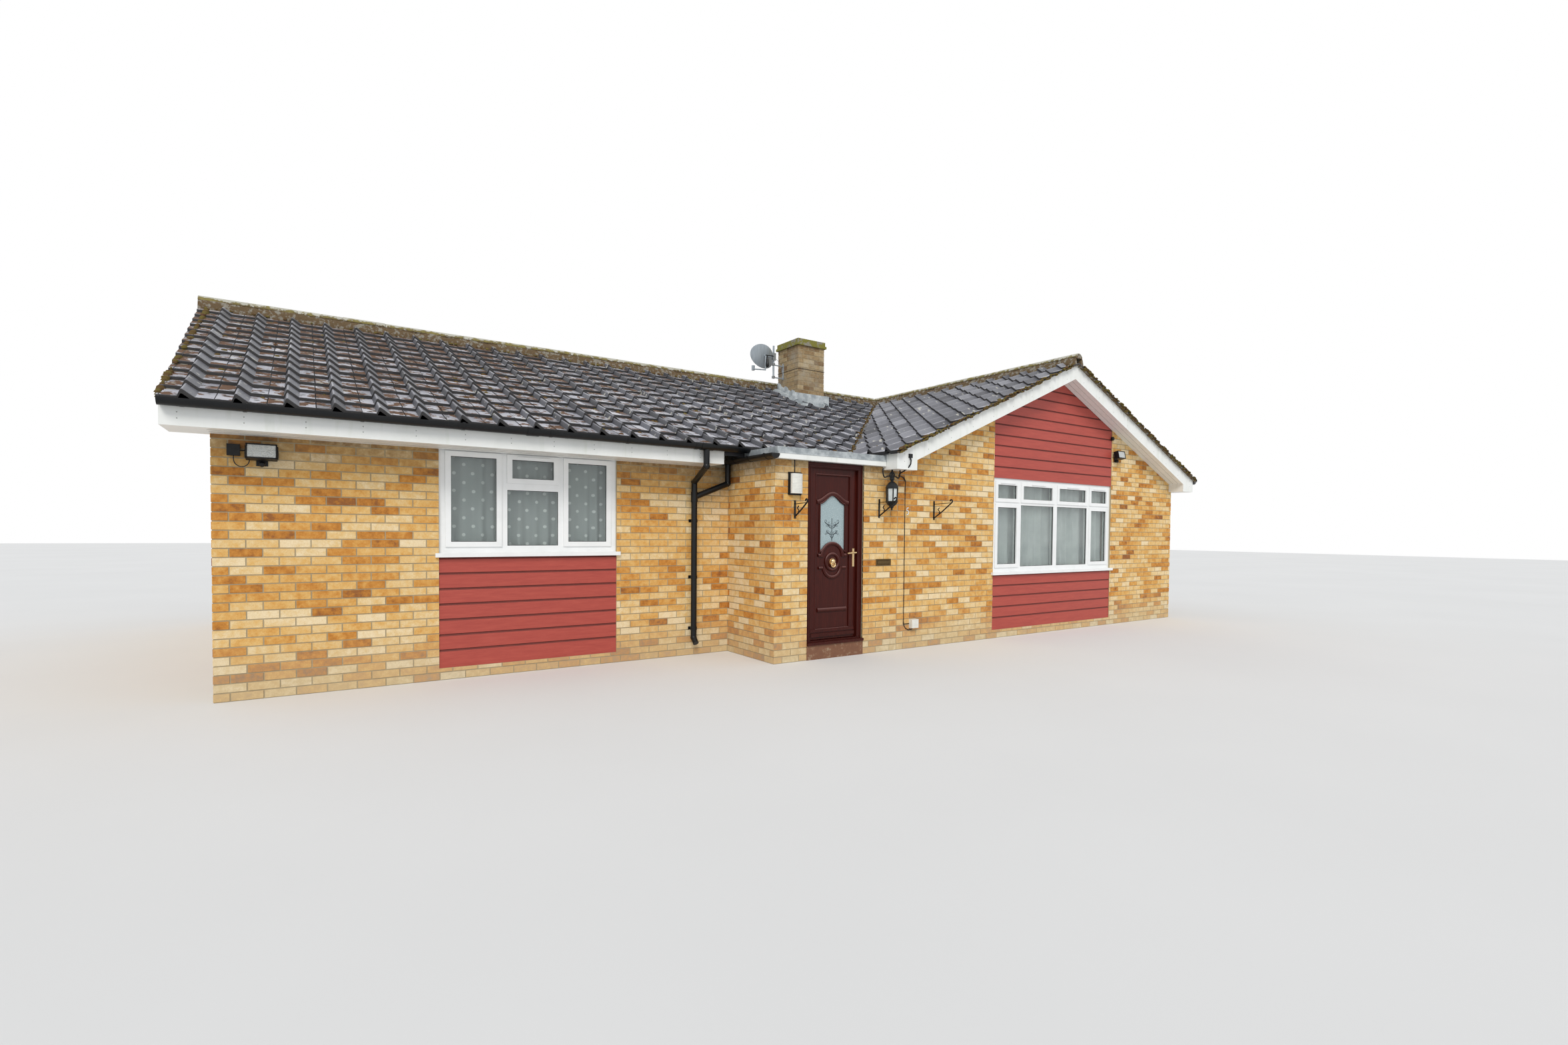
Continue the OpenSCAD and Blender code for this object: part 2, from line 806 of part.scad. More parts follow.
// A clip round a pipe, held to the wall by a stem and a plate
module pipe_clip(x, y, wall_y, z) {
    clip_h = 36;
    translate([x, y, z]) cylinder(r = pipe_r + 5, h = clip_h);
    block([x - 10, y, z], [x + 10, wall_y, z + clip_h]);
    block([x - 46, wall_y - 6, z], [x + 46, wall_y, z + clip_h]);
}

// Eaves downpipe: outlet under a gutter, swan neck back to the wall, pipe, clips and shoe.
// The fascia's face is at y = 0 and the wall's face at y = over.
module swan_neck_pipe(x_out, x_pipe, over) {
    y_out = -gutter_gap - gutter_r;
    y_wall = over - pipe_off;
    elbow_z = soffit_z - 42;
    neck_z = elbow_z - 150;
    pipe_run([[x_out, y_out, gutter_z - 20], [x_out, y_out, elbow_z], [x_pipe, y_wall, neck_z],
              [x_pipe, y_wall, pipe_foot + 60], [x_pipe, y_wall - 60, pipe_foot]], gutter_z);
    run = neck_z - pipe_foot;
    for (u = [0.08, 0.4, 0.75]) pipe_clip(x_pipe, y_wall, over, pipe_foot + u * run);
}

module downpipes() {
    side_x = canopy_x - gutter_r;
    y_wall = -pipe_off;
    bend_z = 2020;
    color("#1d1e20") {
        translate([0, -main_over, 0]) swan_neck_pipe(outlet_x, pipe_x, main_over);
        pipe_run([[side_x, y_wall - 40, side_gutter_z - 20], [side_x, y_wall - 40, bend_z],
                  [pipe_x, y_wall, branch_z]], side_gutter_z, true);
        translate([pipe_x, y_wall, branch_z - 60]) cylinder(r = pipe_r + 6, h = 120);
        at_rear() translate([0, -main_over, 0]) swan_neck_pipe(outlet_x, pipe_x, main_over);
        translate([right_eave, 0, 0]) rotate([0, 0, 90])
            swan_neck_pipe(back_y - 500, back_y - 500, wing_over);
    }
}

// Flat deck with its lead edge, and the upstand that runs up under the main range's tiles
module canopy_roof() {
    lap = 0.3;
    reach = -main_over - tile_drip;
    color(lead_grey) difference() {
        along_x(canopy_x, wing_eave)
            polygon([[canopy_y, canopy_top - lead_d], [front_y, canopy_top - lead_d], [front_y, canopy_z],
                     [0, canopy_z], [0, deck(main_over) - lap], [reach, deck(-tile_drip) - lap],
                     [reach, canopy_top], [canopy_y, canopy_top]]);
        block([canopy_x - eps, front_y, canopy_z - eps], [front_wall_l, 0, canopy_top - lead_d]);
    }
}

module chimney_stack() {
    color("#b98a55") stack_block(0, ceiling_z + ceiling_t, stack_z);
}

module chimney_cap() {
    lip_h = 40;
    color("#8f8a70") {
        stack_block(cap_lip, stack_z, stack_z + lip_h);
        stack_block(cap_over, stack_z + lip_h, stack_z + cap_h);
        hull() {
            stack_block(cap_over, stack_z + cap_h - eps, stack_z + cap_h);
            translate([stack_x + stack_w / 2 - 120, stack_y + stack_l / 2 - 140, stack_z + cap_h])
                cube([240, 280, cap_rise]);
        }
    }
}

// Points of an ellipse
function oval(w, h, n = 40) = [for (i = [0 : n - 1]) [w / 2 * cos(360 * i / n), h / 2 * sin(360 * i / n)]];

// Offset dish on a mast, its back to the street, the mast held off the stack by a steel bracket
module satellite_dish() {
    bowl_r = 900;
    mast_r = 16;
    arm_r = 10;
    mast_x = stack_x - mast_out;
    mast_y = stack_y + stack_l - 150;
    low_z = stack_z - 520;
    high_z = stack_z + 40;
    back = [mast_x - 150, mast_y + 50, stack_z - 150];
    foot = back + [0, -24, -dish_h / 2 - 36];
    color("#9aa2a8") {
        translate(back) rotate([0, 0, 18]) rotate([-84, 0, 0]) difference() {
            intersection() {
                translate([0, 0, bowl_r]) rotate([90, 0, 0]) sphere(r = bowl_r, $fn = 96);
                linear_extrude(300) polygon(oval(dish_w, dish_h));
            }
            translate([0, 0, bowl_r + dish_t]) rotate([90, 0, 0]) sphere(r = bowl_r, $fn = 96);
        }
        translate([mast_x, mast_y, low_z]) cylinder(r = mast_r, h = high_z - low_z);
        bar([mast_x, mast_y, back[2]], back + [0, -20, 0], arm_r + 4);
        bar(back + [0, -20, 10], back + [0, 12, 0], arm_r + 6);
        bar(back + [0, -24, 10], foot, arm_r);
        translate(foot) sphere(r = arm_r + 2);
        bar(foot, foot + [-60, 300, 60], arm_r);
        translate(foot + [-60, 300, 40]) cylinder(r = 28, h = 80);
        for (z = [low_z + 20, low_z + 232]) bar([mast_x, mast_y, z], [stack_x - 6, mast_y, z], arm_r);
        block([stack_x - 6, mast_y - 22, low_z], [stack_x, mast_y + 22, low_z + 280]);
    }
}

// A window's lights as [left, right, foot, head, sash width], measured on the glass from the
// opening's left edge and from the sill's top
function left_lights(w, h) = let (
        in = frame_w + sash_w,
        mid0 = (w - left_mid_w) / 2,
        mid1 = (w + left_mid_w) / 2,
        head = h - in,
        bar = head - top_light_h - sash_w - mullion_w
    ) [[in, mid0 - mullion_w - sash_w + bead_w, in, head, sash_w],
       [mid0, mid1, frame_w + bead_w, bar, 0],
       [mid0 + 46, mid1 - 46, bar + mullion_w + sash_w, head, sash_w],
       [mid1 + mullion_w + sash_w - bead_w, w - in, in, head, sash_w]];

function gable_lights(w, h) = let (
        in = frame_w + sash_w,
        half = w / 2,
        post = mullion_w * 0.68,
        outer = half - post - gable_mid_w,
        head = h - in + 14,
        bar = head - top_light_h - sash_w - mullion_w / 2
    ) [[in, outer - mullion_w - sash_w + bead_w, in, bar - sash_w + bead_w, sash_w],
       [in, outer - mullion_w - sash_w + bead_w, head - top_light_h, head, sash_w],
       [outer, half - post, frame_w + bead_w, bar, 0],
       [outer + 42, half - post - 42, head - top_light_h, head, sash_w],
       [half + post, w - outer, frame_w + bead_w, bar, 0],
       [half + post + 42, w - outer - 42, head - top_light_h, head, sash_w],
       [w - outer + mullion_w + sash_w - bead_w, w - in, in, bar - sash_w + bead_w, sash_w],
       [w - outer + mullion_w + sash_w - bead_w, w - in, head - top_light_h, head, sash_w]];

// Frame, sashes and sill; the opening's left edge is at x = 0, the wall's face at y = 0 and
// the sill's underside at z = 0
module window_frame(w, h, lights) {
    color(upvc) {
        translate([0, 0, sill_h]) difference() {
            union() {
                block([0, frame_back, 0], [w, frame_back + frame_d, h - sill_h]);
                for (l = lights) if (l[4] > 0)
                    block([l[0] - l[4] + 4, frame_back - sash_up, l[2] - l[4] + 4],
                          [l[1] + l[4] - 4, frame_back + eps, l[3] + l[4] - 4]);
            }
            for (l = lights)
                block([l[0], -far, l[2]], [l[1], far, l[3]]);
        }
        block([0, -sill_reach, 0], [w, frame_back + frame_d, sill_h]);
        block([-sill_horn, -sill_reach, 0], [w + sill_horn, 0, sill_h]);
    }
}

module window_glass(w, h, lights) {
    color("#aebfc6", 0.5) translate([0, 0, sill_h]) for (l = lights)
        block([l[0], frame_back + 14, l[2]], [l[1], frame_back + 14 + glass_t, l[3]]);
}

module left_window(part) {
    h = left_win_top - left_win_z;
    lights = left_lights(left_win_w, h - sill_h);
    translate([left_win_x, 0, left_win_z])
        if (part == "frame") window_frame(left_win_w, h, lights);
        else window_glass(left_win_w, h, lights);
}

module gable_window(part) {
    h = gable_win_top - gable_win_z;
    lights = gable_lights(gable_win_w, h - sill_h);
    translate([gable_win_x, front_y, gable_win_z])
        if (part == "frame") window_frame(gable_win_w, h, lights);
        else window_glass(gable_win_w, h, lights);
}

module window_left_frame() { left_window("frame"); }

module window_left_glass() { left_window("glass"); }

module window_gable_frame() { gable_window("frame"); }

module window_gable_glass() { gable_window("glass"); }

module rear_window_frames() {
    at_rear() {
        left_window("frame");
        gable_window("frame");
    }
}

module rear_window_glass() {
    at_rear() {
        left_window("glass");
        gable_window("glass");
    }
}

// Section of shiplap boards, their faces at 0 and their backs at clad_t, from z0 up to z1; the lowest
// board is first high
module shiplap(z0, z1, first) {
    rows = ceil((z1 - z0) / board_h);
    intersection() {
        polygon(concat(
            [[clad_t, z0], [0, z0]],
            [for (i = [0 : rows]) let (z = z0 + first + i * board_h)
                each [[0, z - groove_h], [groove_d, z - groove_h / 3], [groove_d, z], [0, z]]],
            [[clad_t, z0 + first + rows * board_h]]));
        translate([-eps, z0]) square([clad_t + 2 * eps, z1 - z0]);
    }
}

module street_boards() {
    along_x(left_win_x, left_win_x + left_win_w) translate([clad_back, 0])
        shiplap(clad_z, left_win_z, first_board);
    along_x(gable_win_x, gable_win_x + gable_win_w)
        translate([front_y + clad_back, 0]) shiplap(clad_z, gable_win_z, first_board);
    intersection() {
        along_x(gable_win_x, gable_win_x + gable_win_w)
            translate([front_y + clad_back, 0]) shiplap(gable_win_top, under(half_span), head_board);
        along_y(front_y, front_y + wall_t)
            polygon([[wing_x, 0], [wing_end, 0], [wing_end, under(wing_over)],
                     [ridge_x, under(half_span)], [wing_x, under(wing_over)]]);
    }
}

module cladding_boards() {
    color("#a5483f") both_ends() street_boards();
}

// Frame in the doorway: jambs and head with a stop in front of the leaf, and a sill
module door_frame() {
    face = front_y + jamb_back;
    stop_y = face + stop_d;
    back = face + jamb_d;
    head_z = canopy_z - jamb_w + 5;
    color(rosewood) {
        difference() {
            block([door_x, face, sill_z], [door_end, back, canopy_z]);
            block([door_x + jamb_w, face - eps, sill_z + door_sill_h],
                  [door_end - jamb_w, back + eps, head_z]);
            block([leaf_x() - leaf_gap, stop_y, sill_z + door_sill_h],
                  [leaf_x() + leaf_w() + leaf_gap + swing_gap, back + eps, leaf_z() + leaf_h() + leaf_gap]);
        }
        block([door_x, front_y - 30, sill_z], [door_end, face, sill_z + door_sill_h - 14]);
        for (z = hinge_heights()) translate([hinge_x(), hinge_y(), z]) {
            cylinder(r = pin_r, h = hinge_h);
            for (k = [0, 2]) {
                translate([0, 0, k * hinge_h / 3]) cylinder(r = knuckle_r, h = hinge_h / 3);
                block([-38, back - hinge_y(), k * hinge_h / 3], [0, 3, (k + 1) * hinge_h / 3]);
            }
        }
    }
}

// The three hinges stand on the frame's inner face, their axis over the gap beside the leaf
function hinge_x() = leaf_x() - leaf_gap / 2;
function hinge_y() = front_y + jamb_back + jamb_d + 10;
function hinge_heights() = [for (h = [0.1, 0.5, 0.9]) leaf_z() + leaf_h() * h - hinge_h / 2];
function leaf_x() = door_x + jamb_w - stop_lap;
function leaf_w() = door_w - 2 * jamb_w + 2 * stop_lap;
function leaf_y() = front_y + jamb_back + stop_d + leaf_gap;
function leaf_z() = sill_z + door_sill_h + leaf_gap + 1;
function leaf_h() = canopy_z - jamb_w + 5 + stop_lap - leaf_z();

// Outline of the door's glass, grown by m: a wave at the head, upright sides and an arch at the foot.
// It is centred on x = 0 and its heights are measured from the leaf's foot.
function light_outline(m) = let (r = light_r + m, n = 24) concat(
    [for (i = [0 : n]) let (u = i / n) [r - 2 * r * u, light_top + m + wave_rise * (1 - cos(360 * u)) / 2]],
    [for (i = [0 : n]) let (u = i / n) [2 * r * u - r, light_low - m + (arch_rise + m) * sin(180 * u)]]);

// A band that follows the wave over the glass, a little wider than it
function wave_band(w0, w1) = let (r = light_r + 50, n = 24) concat(
    [for (i = [0 : n]) let (u = i / n) [r - 2 * r * u, light_top + w1 + wave_rise * (1 - cos(360 * u)) / 2]],
    [for (i = [0 : n]) let (u = i / n) [2 * r * u - r, light_top + w0 + wave_rise * (1 - cos(360 * u)) / 2]]);

// A half ring with flat feet, concave side at y = 0, opening down or up
module arch_band(r, w, foot) {
    difference() {
        circle(r);
        circle(r - w);
        translate([-2 * r, -2 * r]) square([4 * r, 2 * r]);
    }
    for (s = [0, 1]) mirror([s, 0]) translate([r - w, 0]) square([w + foot, w * 0.8]);
}

module front_door() {
    panel_h = leaf_h() - top_rail - bottom_rail;
    mid = leaf_w() / 2;
    color(rosewood) translate([leaf_x(), leaf_y(), leaf_z()]) {
        difference() {
            cube([leaf_w(), leaf_t, leaf_h()]);
            translate([stile_w, -eps, bottom_rail]) cube([leaf_w() - 2 * stile_w, panel_back + eps, panel_h]);
            translate([mid, 0, 0]) along_y(-eps, leaf_t + eps) polygon(light_outline(0));
        }
        translate([mid, 0, 0]) along_y(panel_back - mould_up, panel_back) {
            difference() {
                union() {
                    polygon(light_outline(14));
                    polygon(wave_band(0, mould_w));
                    translate([0, light_low - 60]) arch_band(light_r - 6, mould_w - 8, 34);
                }
                polygon(light_outline(0));
            }
            difference() {
                translate([0, ring_h]) circle(ring_r);
                translate([0, ring_h]) circle(ring_r - 30);
            }
            translate([0, ring_h - 52]) mirror([0, 1]) arch_band(light_r - 34, mould_w - 8, 56);
            translate([-light_r - 30, 312]) square([2 * light_r + 60, 46]);
        }
        for (rail = [[30, 40, 16], [84, 34, 8]])
            translate([30, -rail[2], rail[0]]) cube([leaf_w() - 60, rail[2], rail[1]]);
    }
    color(rosewood) for (z = hinge_heights()) translate([hinge_x(), hinge_y(), z + hinge_h / 3])
        difference() {
            union() {
                translate([0, 0, pin_gap]) cylinder(r = knuckle_r, h = hinge_h / 3 - 2 * pin_gap);
                block([0, leaf_y() + leaf_t - hinge_y(), pin_gap], [38, 3, hinge_h / 3 - pin_gap]);
            }
            translate([0, 0, -eps]) cylinder(r = pin_r + pin_gap, h = hinge_h);
        }
}

module door_glass() {
    color("#9fb3b6", 0.6) translate([leaf_x() + leaf_w() / 2, leaf_y(), leaf_z()])
        along_y(panel_back + 8, panel_back + 14) polygon(light_outline(0));
}

// Knocker on the round boss and lever handle on its plate
module door_brassware() {
    color("#d8b25a") translate([leaf_x(), leaf_y(), leaf_z()]) {
        translate([leaf_w() / 2, panel_back, ring_h]) {
            rotate([90, 0, 0]) cylinder(r = 42, h = 14);
            translate([0, -14, 6]) intersection() {
                sphere(r = 34);
                rotate([90, 0, 0]) cylinder(r = 40, h = 40);
            }
            translate([0, -17, -34]) rotate([90, 0, 0]) rotate_extrude() translate([24, 0]) circle(6, $fn = 24);
        }
        translate([leaf_w() - stile_w / 2, 0, handle_h]) {
            block([-15, -9, -165], [15, 0, 48]);
            translate([0, -9, 0]) rotate([90, 0, 0]) cylinder(r = 11, h = 34);
            bar([14, -40, 0], [-62, -40, -6], 9);
        }
        translate([leaf_w() - stile_w / 2, leaf_t, handle_h]) {
            block([-15, 0, -165], [15, 9, 48]);
            translate([0, 9, 0]) rotate([-90, 0, 0]) cylinder(r = 11, h = 34);
            bar([14, 40, 0], [-62, 40, -6], 9);
        }
    }
}

// A floodlight on a wall's face at y = 0, with its sensor below
module flood(w, h) {
    block([-40, -14, -h / 2 - 40], [40, 0, h / 2]);
    translate([0, -14, 0]) block([-16, -30, -16], [16, 0, 16]);
    translate([0, -40, 0]) rotate([-12, 0, 0]) block([-w / 2, -70, -h / 2], [w / 2, 0, h / 2]);
    translate([0, -34, -h / 2 - 24]) sphere(r = 24);
}

module floodlights() {
    box_w = 86;
    color("#2a2b2d") {
        translate([flood_x, 0, flood_z]) flood(212, 127);
        block([flood_x - 232, -40, flood_z - 27], [flood_x - 232 + box_w, 0, flood_z + 68]);
        translate([flood_x - 232 + box_w, -12, flood_z + 20]) rotate([0, 90, 0])
            cylinder(r = 5, h = 232 - box_w - 40);
        translate([security_x, front_y, security_z]) flood(200, 120);
        translate([security_x - 110, front_y, security_z + 270]) rotate([90, 0, 0]) cylinder(r = 30, h = 28);
    }
}

module bulkhead_light() {
    w = 162;
    h = 242;
    translate([bulkhead_x, front_y, bulkhead_z]) {
        color("#d8dadb") block([-w / 2, -30, -h / 2], [w / 2, 0, h / 2]);
        color("#e9ecec") intersection() {
            block([-w / 2 + 12, -78, -h / 2 + 12], [w / 2 - 12, -30, h / 2 - 12]);
            translate([0, 62, 0]) cylinder(r = 140, h = h, center = true);
        }
        color("#1d1e20") block([-5, -10, h / 2], [5, 0, canopy_z - bulkhead_z]);
    }
}

// A square porch lantern that hangs by a pivot under the boxed eaves
module porch_lantern() {
    body_r = 106;
    body_h = 176;
    roof_h = 72;
    foot_h = 26;
    rod_r = 5;
    top_z = 1990;
    color("#17181a") translate([lantern_x, front_y - lantern_out, 0]) {
        translate([0, 0, soffit_z - 24]) cylinder(r1 = 10, r2 = 22, h = 24);
        translate([0, 0, top_z - 10]) cylinder(r = rod_r, h = soffit_z - top_z);
        translate([0, 0, top_z]) rotate(45) rotate_extrude($fn = 4)
            polygon([[0, -roof_h - body_h - foot_h], [16, -roof_h - body_h - foot_h],
                     [body_r * 0.84, -roof_h - body_h], [body_r, -roof_h], [body_r * 1.2, -roof_h],
                     [14, 0], [0, 0]]);
    }
}

// A wrought iron bracket: wall plate, arm, curved stay and an upturned tip
module basket_bracket(reach) {
    t = bar_t / 2;
    block([-bar_t, -bar_t / 2, 0], [bar_t, 0, bracket_h]);
    block([-t, -reach, bracket_h - 46], [t, 0, bracket_h - 46 + bar_t]);
    block([-t, -reach, bracket_h - 46], [t, -reach + bar_t, bracket_h - 8]);
    stay = bracket_h - 60;
    translate([0, 0, bracket_h - 46]) rotate([0, 90, 0]) intersection() {
        difference() {
            cylinder(r = stay, h = bar_t, center = true);
            cylinder(r = stay - bar_t, h = bar_t + eps, center = true);
        }
        block([0, -far, -bar_t], [far, 0, bar_t]);
    }
}

module basket_brackets() {
    color("#17181a") for (i = [0 : 2])
        translate([bracket_x[i], front_y, bracket_z[i]]) basket_bracket(bracket_reach[i]);
}

module wall_plates() {
    border = [20, 0, 18];
    recess_d = 4;
    number = [50, 6, 96];
    low = [letter_x, front_y - plate_size[1], letter_z];
    color("#5a4a34") {
        difference() {
            block(low, low + plate_size);
            block(low + border - [0, eps, 0], low + [plate_size[0], recess_d, plate_size[2]] - border);
        }
        translate([wing_x + number_in, front_y - number[1], number_z]) cube(number);
    }
}

module outside_socket() {
    size = [112, 62, 109];
    cable_r = 5;
    cable_off = 95;
    low = [socket_x, front_y - size[1], socket_z];
    bend = [socket_x - cable_off, front_y - cable_r, socket_z + size[2] / 2];
    color("#d5d8d8") {
        translate(low) cube(size);
        translate(bend - [0, 0, cable_r]) cylinder(r = cable_r, h = soffit_z - bend[2] - cable_off);
        bar(bend, bend + [cable_off, 0, 0], cable_r);
    }
}

floor_slab();
ceiling();
front_wall_left();
left_gable_wall();
rear_wall();
right_wall();
wing_front_wall();
wing_rear_wall();
porch_side_wall();
door_pier_left();
door_pier_right();
door_threshold();
roof_main_front();
roof_main_rear();
roof_wing_front_left();
roof_wing_rear_left();
roof_wing_right();
ridge_tiles();
lead_flashings();
fascias();
soffits();
bargeboards();
gutters();
downpipes();
canopy_roof();
chimney_stack();
chimney_cap();
satellite_dish();
window_left_frame();
window_left_glass();
window_gable_frame();
window_gable_glass();
rear_window_frames();
rear_window_glass();
cladding_boards();
door_frame();
front_door();
door_glass();
door_brassware();
floodlights();
bulkhead_light();
porch_lantern();
basket_brackets();
wall_plates();
outside_socket();
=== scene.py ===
import math
import random

import bmesh
import bpy
from mathutils import Matrix, Vector, noise


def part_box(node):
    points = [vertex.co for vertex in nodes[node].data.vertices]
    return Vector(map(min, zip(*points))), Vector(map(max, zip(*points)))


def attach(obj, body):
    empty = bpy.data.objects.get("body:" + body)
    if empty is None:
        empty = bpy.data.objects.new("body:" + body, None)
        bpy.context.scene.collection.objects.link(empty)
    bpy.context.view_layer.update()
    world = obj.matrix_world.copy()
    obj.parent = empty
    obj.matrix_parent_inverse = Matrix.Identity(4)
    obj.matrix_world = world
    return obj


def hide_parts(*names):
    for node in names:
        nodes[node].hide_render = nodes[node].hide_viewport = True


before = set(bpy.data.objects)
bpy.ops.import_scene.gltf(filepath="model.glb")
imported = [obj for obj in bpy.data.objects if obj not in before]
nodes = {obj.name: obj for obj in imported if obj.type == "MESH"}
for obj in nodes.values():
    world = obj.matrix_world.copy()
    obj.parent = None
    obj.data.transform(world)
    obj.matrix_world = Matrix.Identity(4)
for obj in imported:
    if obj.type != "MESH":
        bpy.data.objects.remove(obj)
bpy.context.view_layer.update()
scene = bpy.context.scene

# Camera. The photograph was taken from the street, left of the middle, at eye height, with a wide
# lens that looks to the right along the front. Its place was fitted to forty points of the house.
eye = Vector((0.6344, -7.3886, 1.4584))
yaw, dip, lean = math.radians(34.622), math.radians(1.484), math.radians(0.53)
ahead = Vector((math.sin(yaw) * math.cos(dip), math.cos(yaw) * math.cos(dip), -math.sin(dip)))
level = Vector((math.cos(yaw), -math.sin(yaw), 0))
upright = level.cross(ahead)
right = math.cos(lean) * level + math.sin(lean) * upright
above = math.cos(lean) * upright - math.sin(lean) * level
lens = bpy.data.cameras.new("street_view")
lens.lens = 16.066
lens.sensor_width = 36
photo_width = 2353
lens.shift_x = -7.64 / photo_width
lens.shift_y = 40.5 / photo_width
lens.clip_end = 500
camera = bpy.data.objects.new("street_view", lens)
camera.matrix_world = Matrix.Translation(eye) @ Matrix((right, above, -ahead)).transposed().to_4x4()
scene.collection.objects.link(camera)
scene.camera = camera

# Floodlight's lead. A short round rubber flex leaves the foot of the junction box on the left wall,
# hangs in a loop and goes into the back of the floodlight.


def tone(code):
    """Linear colour of an sRGB hex code."""
    parts = [int(code[i:i + 2], 16) / 255 for i in (1, 3, 5)]
    return tuple(c / 12.92 if c <= 0.04045 else ((c + 0.055) / 1.055) ** 2.4 for c in parts) + (1.0,)


def per(mm):
    """Texture scale at which one feature measures that many millimetres."""
    return 1000 / mm


def feed(tree, node, *placed, **named):
    """Sets a node's inputs, by place or by name, from constants, hex colours, sockets or other nodes."""
    for key, value in [*enumerate(placed), *named.items()]:
        socket = node.inputs[key if isinstance(key, int) else key.replace("_", " ")]
        source = value.outputs[0] if isinstance(value, bpy.types.Node) else value
        if isinstance(source, bpy.types.NodeSocket):
            tree.links.new(source, socket)
        else:
            socket.default_value = tone(value) if isinstance(value, str) else value


def add(tree, kind, *placed, stops=(), **named):
    """Adds a node; capital names are inputs, small ones settings, and stops a ramp's places and colours."""
    node = tree.nodes.new("ShaderNode" + kind)
    for place, colour in stops:
        ramp = node.color_ramp.elements
        stop = ramp[0] if place == 0 else ramp[len(ramp) - 1] if place == 1 else ramp.new(place)
        stop.color = tone(colour)
    for key in [key for key in named if key[0].islower()]:
        setattr(node, key, named.pop(key))
    feed(tree, node, *placed, **named)
    return node


def surface(name, *fields):
    """A new material, its nodes, its shader, the object's own coordinates and its faces' numbers."""
    material = bpy.data.materials.new(name)
    material.use_nodes = True
    tree = material.node_tree
    numbers = [add(tree, "Attribute", attribute_name=field).outputs["Fac"] for field in fields]
    return material, tree, tree.nodes["Principled BSDF"], add(tree, "TexCoord").outputs["Object"], *numbers


def finish(tree, shader, colour, pattern, rough, relief, bump, **fixed):
    """Colours a shader, dulls it by a pattern between two roughnesses, and dents it by a relief of the
    given strength and depth."""
    feed(tree, shader, Base_Color=colour,
         Roughness=add(tree, "MapRange", Value=pattern, To_Min=rough[0], To_Max=rough[1]),
         Normal=add(tree, "Bump", Height=relief, Strength=bump[0], Distance=bump[1]), **fixed)


def coat(name, mm, detail, rough, bump, stops, grain=0.5, kind="TexNoise", stretch=None, relief=None,
         **fixed):
    """A finish that one pattern colours, dulls and dents. mm is the size of its patches, stretch how they
    are drawn out, rough its lowest and highest roughness, bump its strength and depth, and relief the
    size and detail of the dents where they don't follow the pattern."""
    material, tree, shader, here = surface(name)
    where = add(tree, "Mapping", Vector=here, Scale=stretch) if stretch else here
    pattern = add(tree, kind, Vector=where, Scale=per(mm), Detail=detail, Roughness=grain)
    dents = add(tree, "TexNoise", Vector=here, Scale=per(relief[0]), Detail=relief[1]) if relief else pattern
    finish(tree, shader, add(tree, "ValToRGB", Fac=pattern, stops=stops), pattern, rough, dents, bump,
           **fixed)
    return material


class Shape:
    """Corners and faces of a piece, gathered before it is made."""

    def __init__(self):
        self.corners, self.faces, self.marks = [], [], []

    def loft(self, loops, around=True, caps=True, mark=(0.0,)):
        """Joins loops of points by quads."""
        count, first, start = len(loops[0]), len(self.corners), len(self.faces)
        for loop in loops:
            self.corners.extend(tuple(p) for p in loop)
        for row in range(len(loops) - 1):
            for k in range(count if around else count - 1):
                a, b = first + row * count + k, first + row * count + (k + 1) % count
                self.faces.append((a, b, b + count, a + count))
        if caps:
            last = first + (len(loops) - 1) * count
            self.faces.append(tuple(first + k for k in reversed(range(count))))
            self.faces.append(tuple(last + k for k in range(count)))
        self.marks.extend([mark] * (len(self.faces) - start))

    def block(self, low, high, mark=(0.0,)):
        """An upright block between two corners."""
        (x0, y0, z0), (x1, y1, z1) = low, high
        self.loft([[(x0, y0, z), (x1, y0, z), (x1, y1, z), (x0, y1, z)] for z in (z0, z1)], mark=mark)

    def tube(self, path, radius, sides=10, mark=(0.0,)):
        """A round bar along a path."""
        path = [Vector(p) for p in path]
        loops, side = [], None
        for i, p in enumerate(path):
            along = (path[min(i + 1, len(path) - 1)] - path[max(i - 1, 0)]).normalized()
            side = (side or along.orthogonal()).cross(along).cross(along).normalized() * -1
            up = along.cross(side)
            loops.append([p + radius * (math.cos(t) * side + math.sin(t) * up)
                          for t in (2 * math.pi * k / sides for k in range(sides))])
        self.loft(loops, mark=mark)


def piece(name, shape, material, body="house", soften=None, fields=(), outward=True):
    """Makes a shape into an object that rides on a body; soften is the angle up to which it is shaded
    smooth, and fields name the numbers that its faces carry."""
    mesh = bpy.data.meshes.new(name)
    mesh.from_pydata(shape.corners, [], shape.faces)
    mesh.materials.append(material)
    for i, field in enumerate(fields):
        mesh.attributes.new(field, "FLOAT", "FACE").data.foreach_set("value", [m[i] for m in shape.marks])
    if outward:
        solid = bmesh.new()
        solid.from_mesh(mesh)
        bmesh.ops.recalc_face_normals(solid, faces=solid.faces)
        solid.to_mesh(mesh)
        solid.free()
    if soften:
        mesh.shade_smooth()
        mesh.set_sharp_from_angle(angle=math.radians(soften))
    made = bpy.data.objects.new(name, mesh)
    scene.collection.objects.link(made)
    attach(made, body)
    return made


# Black rubber flex: extruded, dull, with a faint dusty unevenness
flex_rubber = coat("black_flex_rubber", 12, 4.0, (0.5, 0.7), (0.2, 0.0005), [(0, "#1A1A1B"), (1, "#323231")])

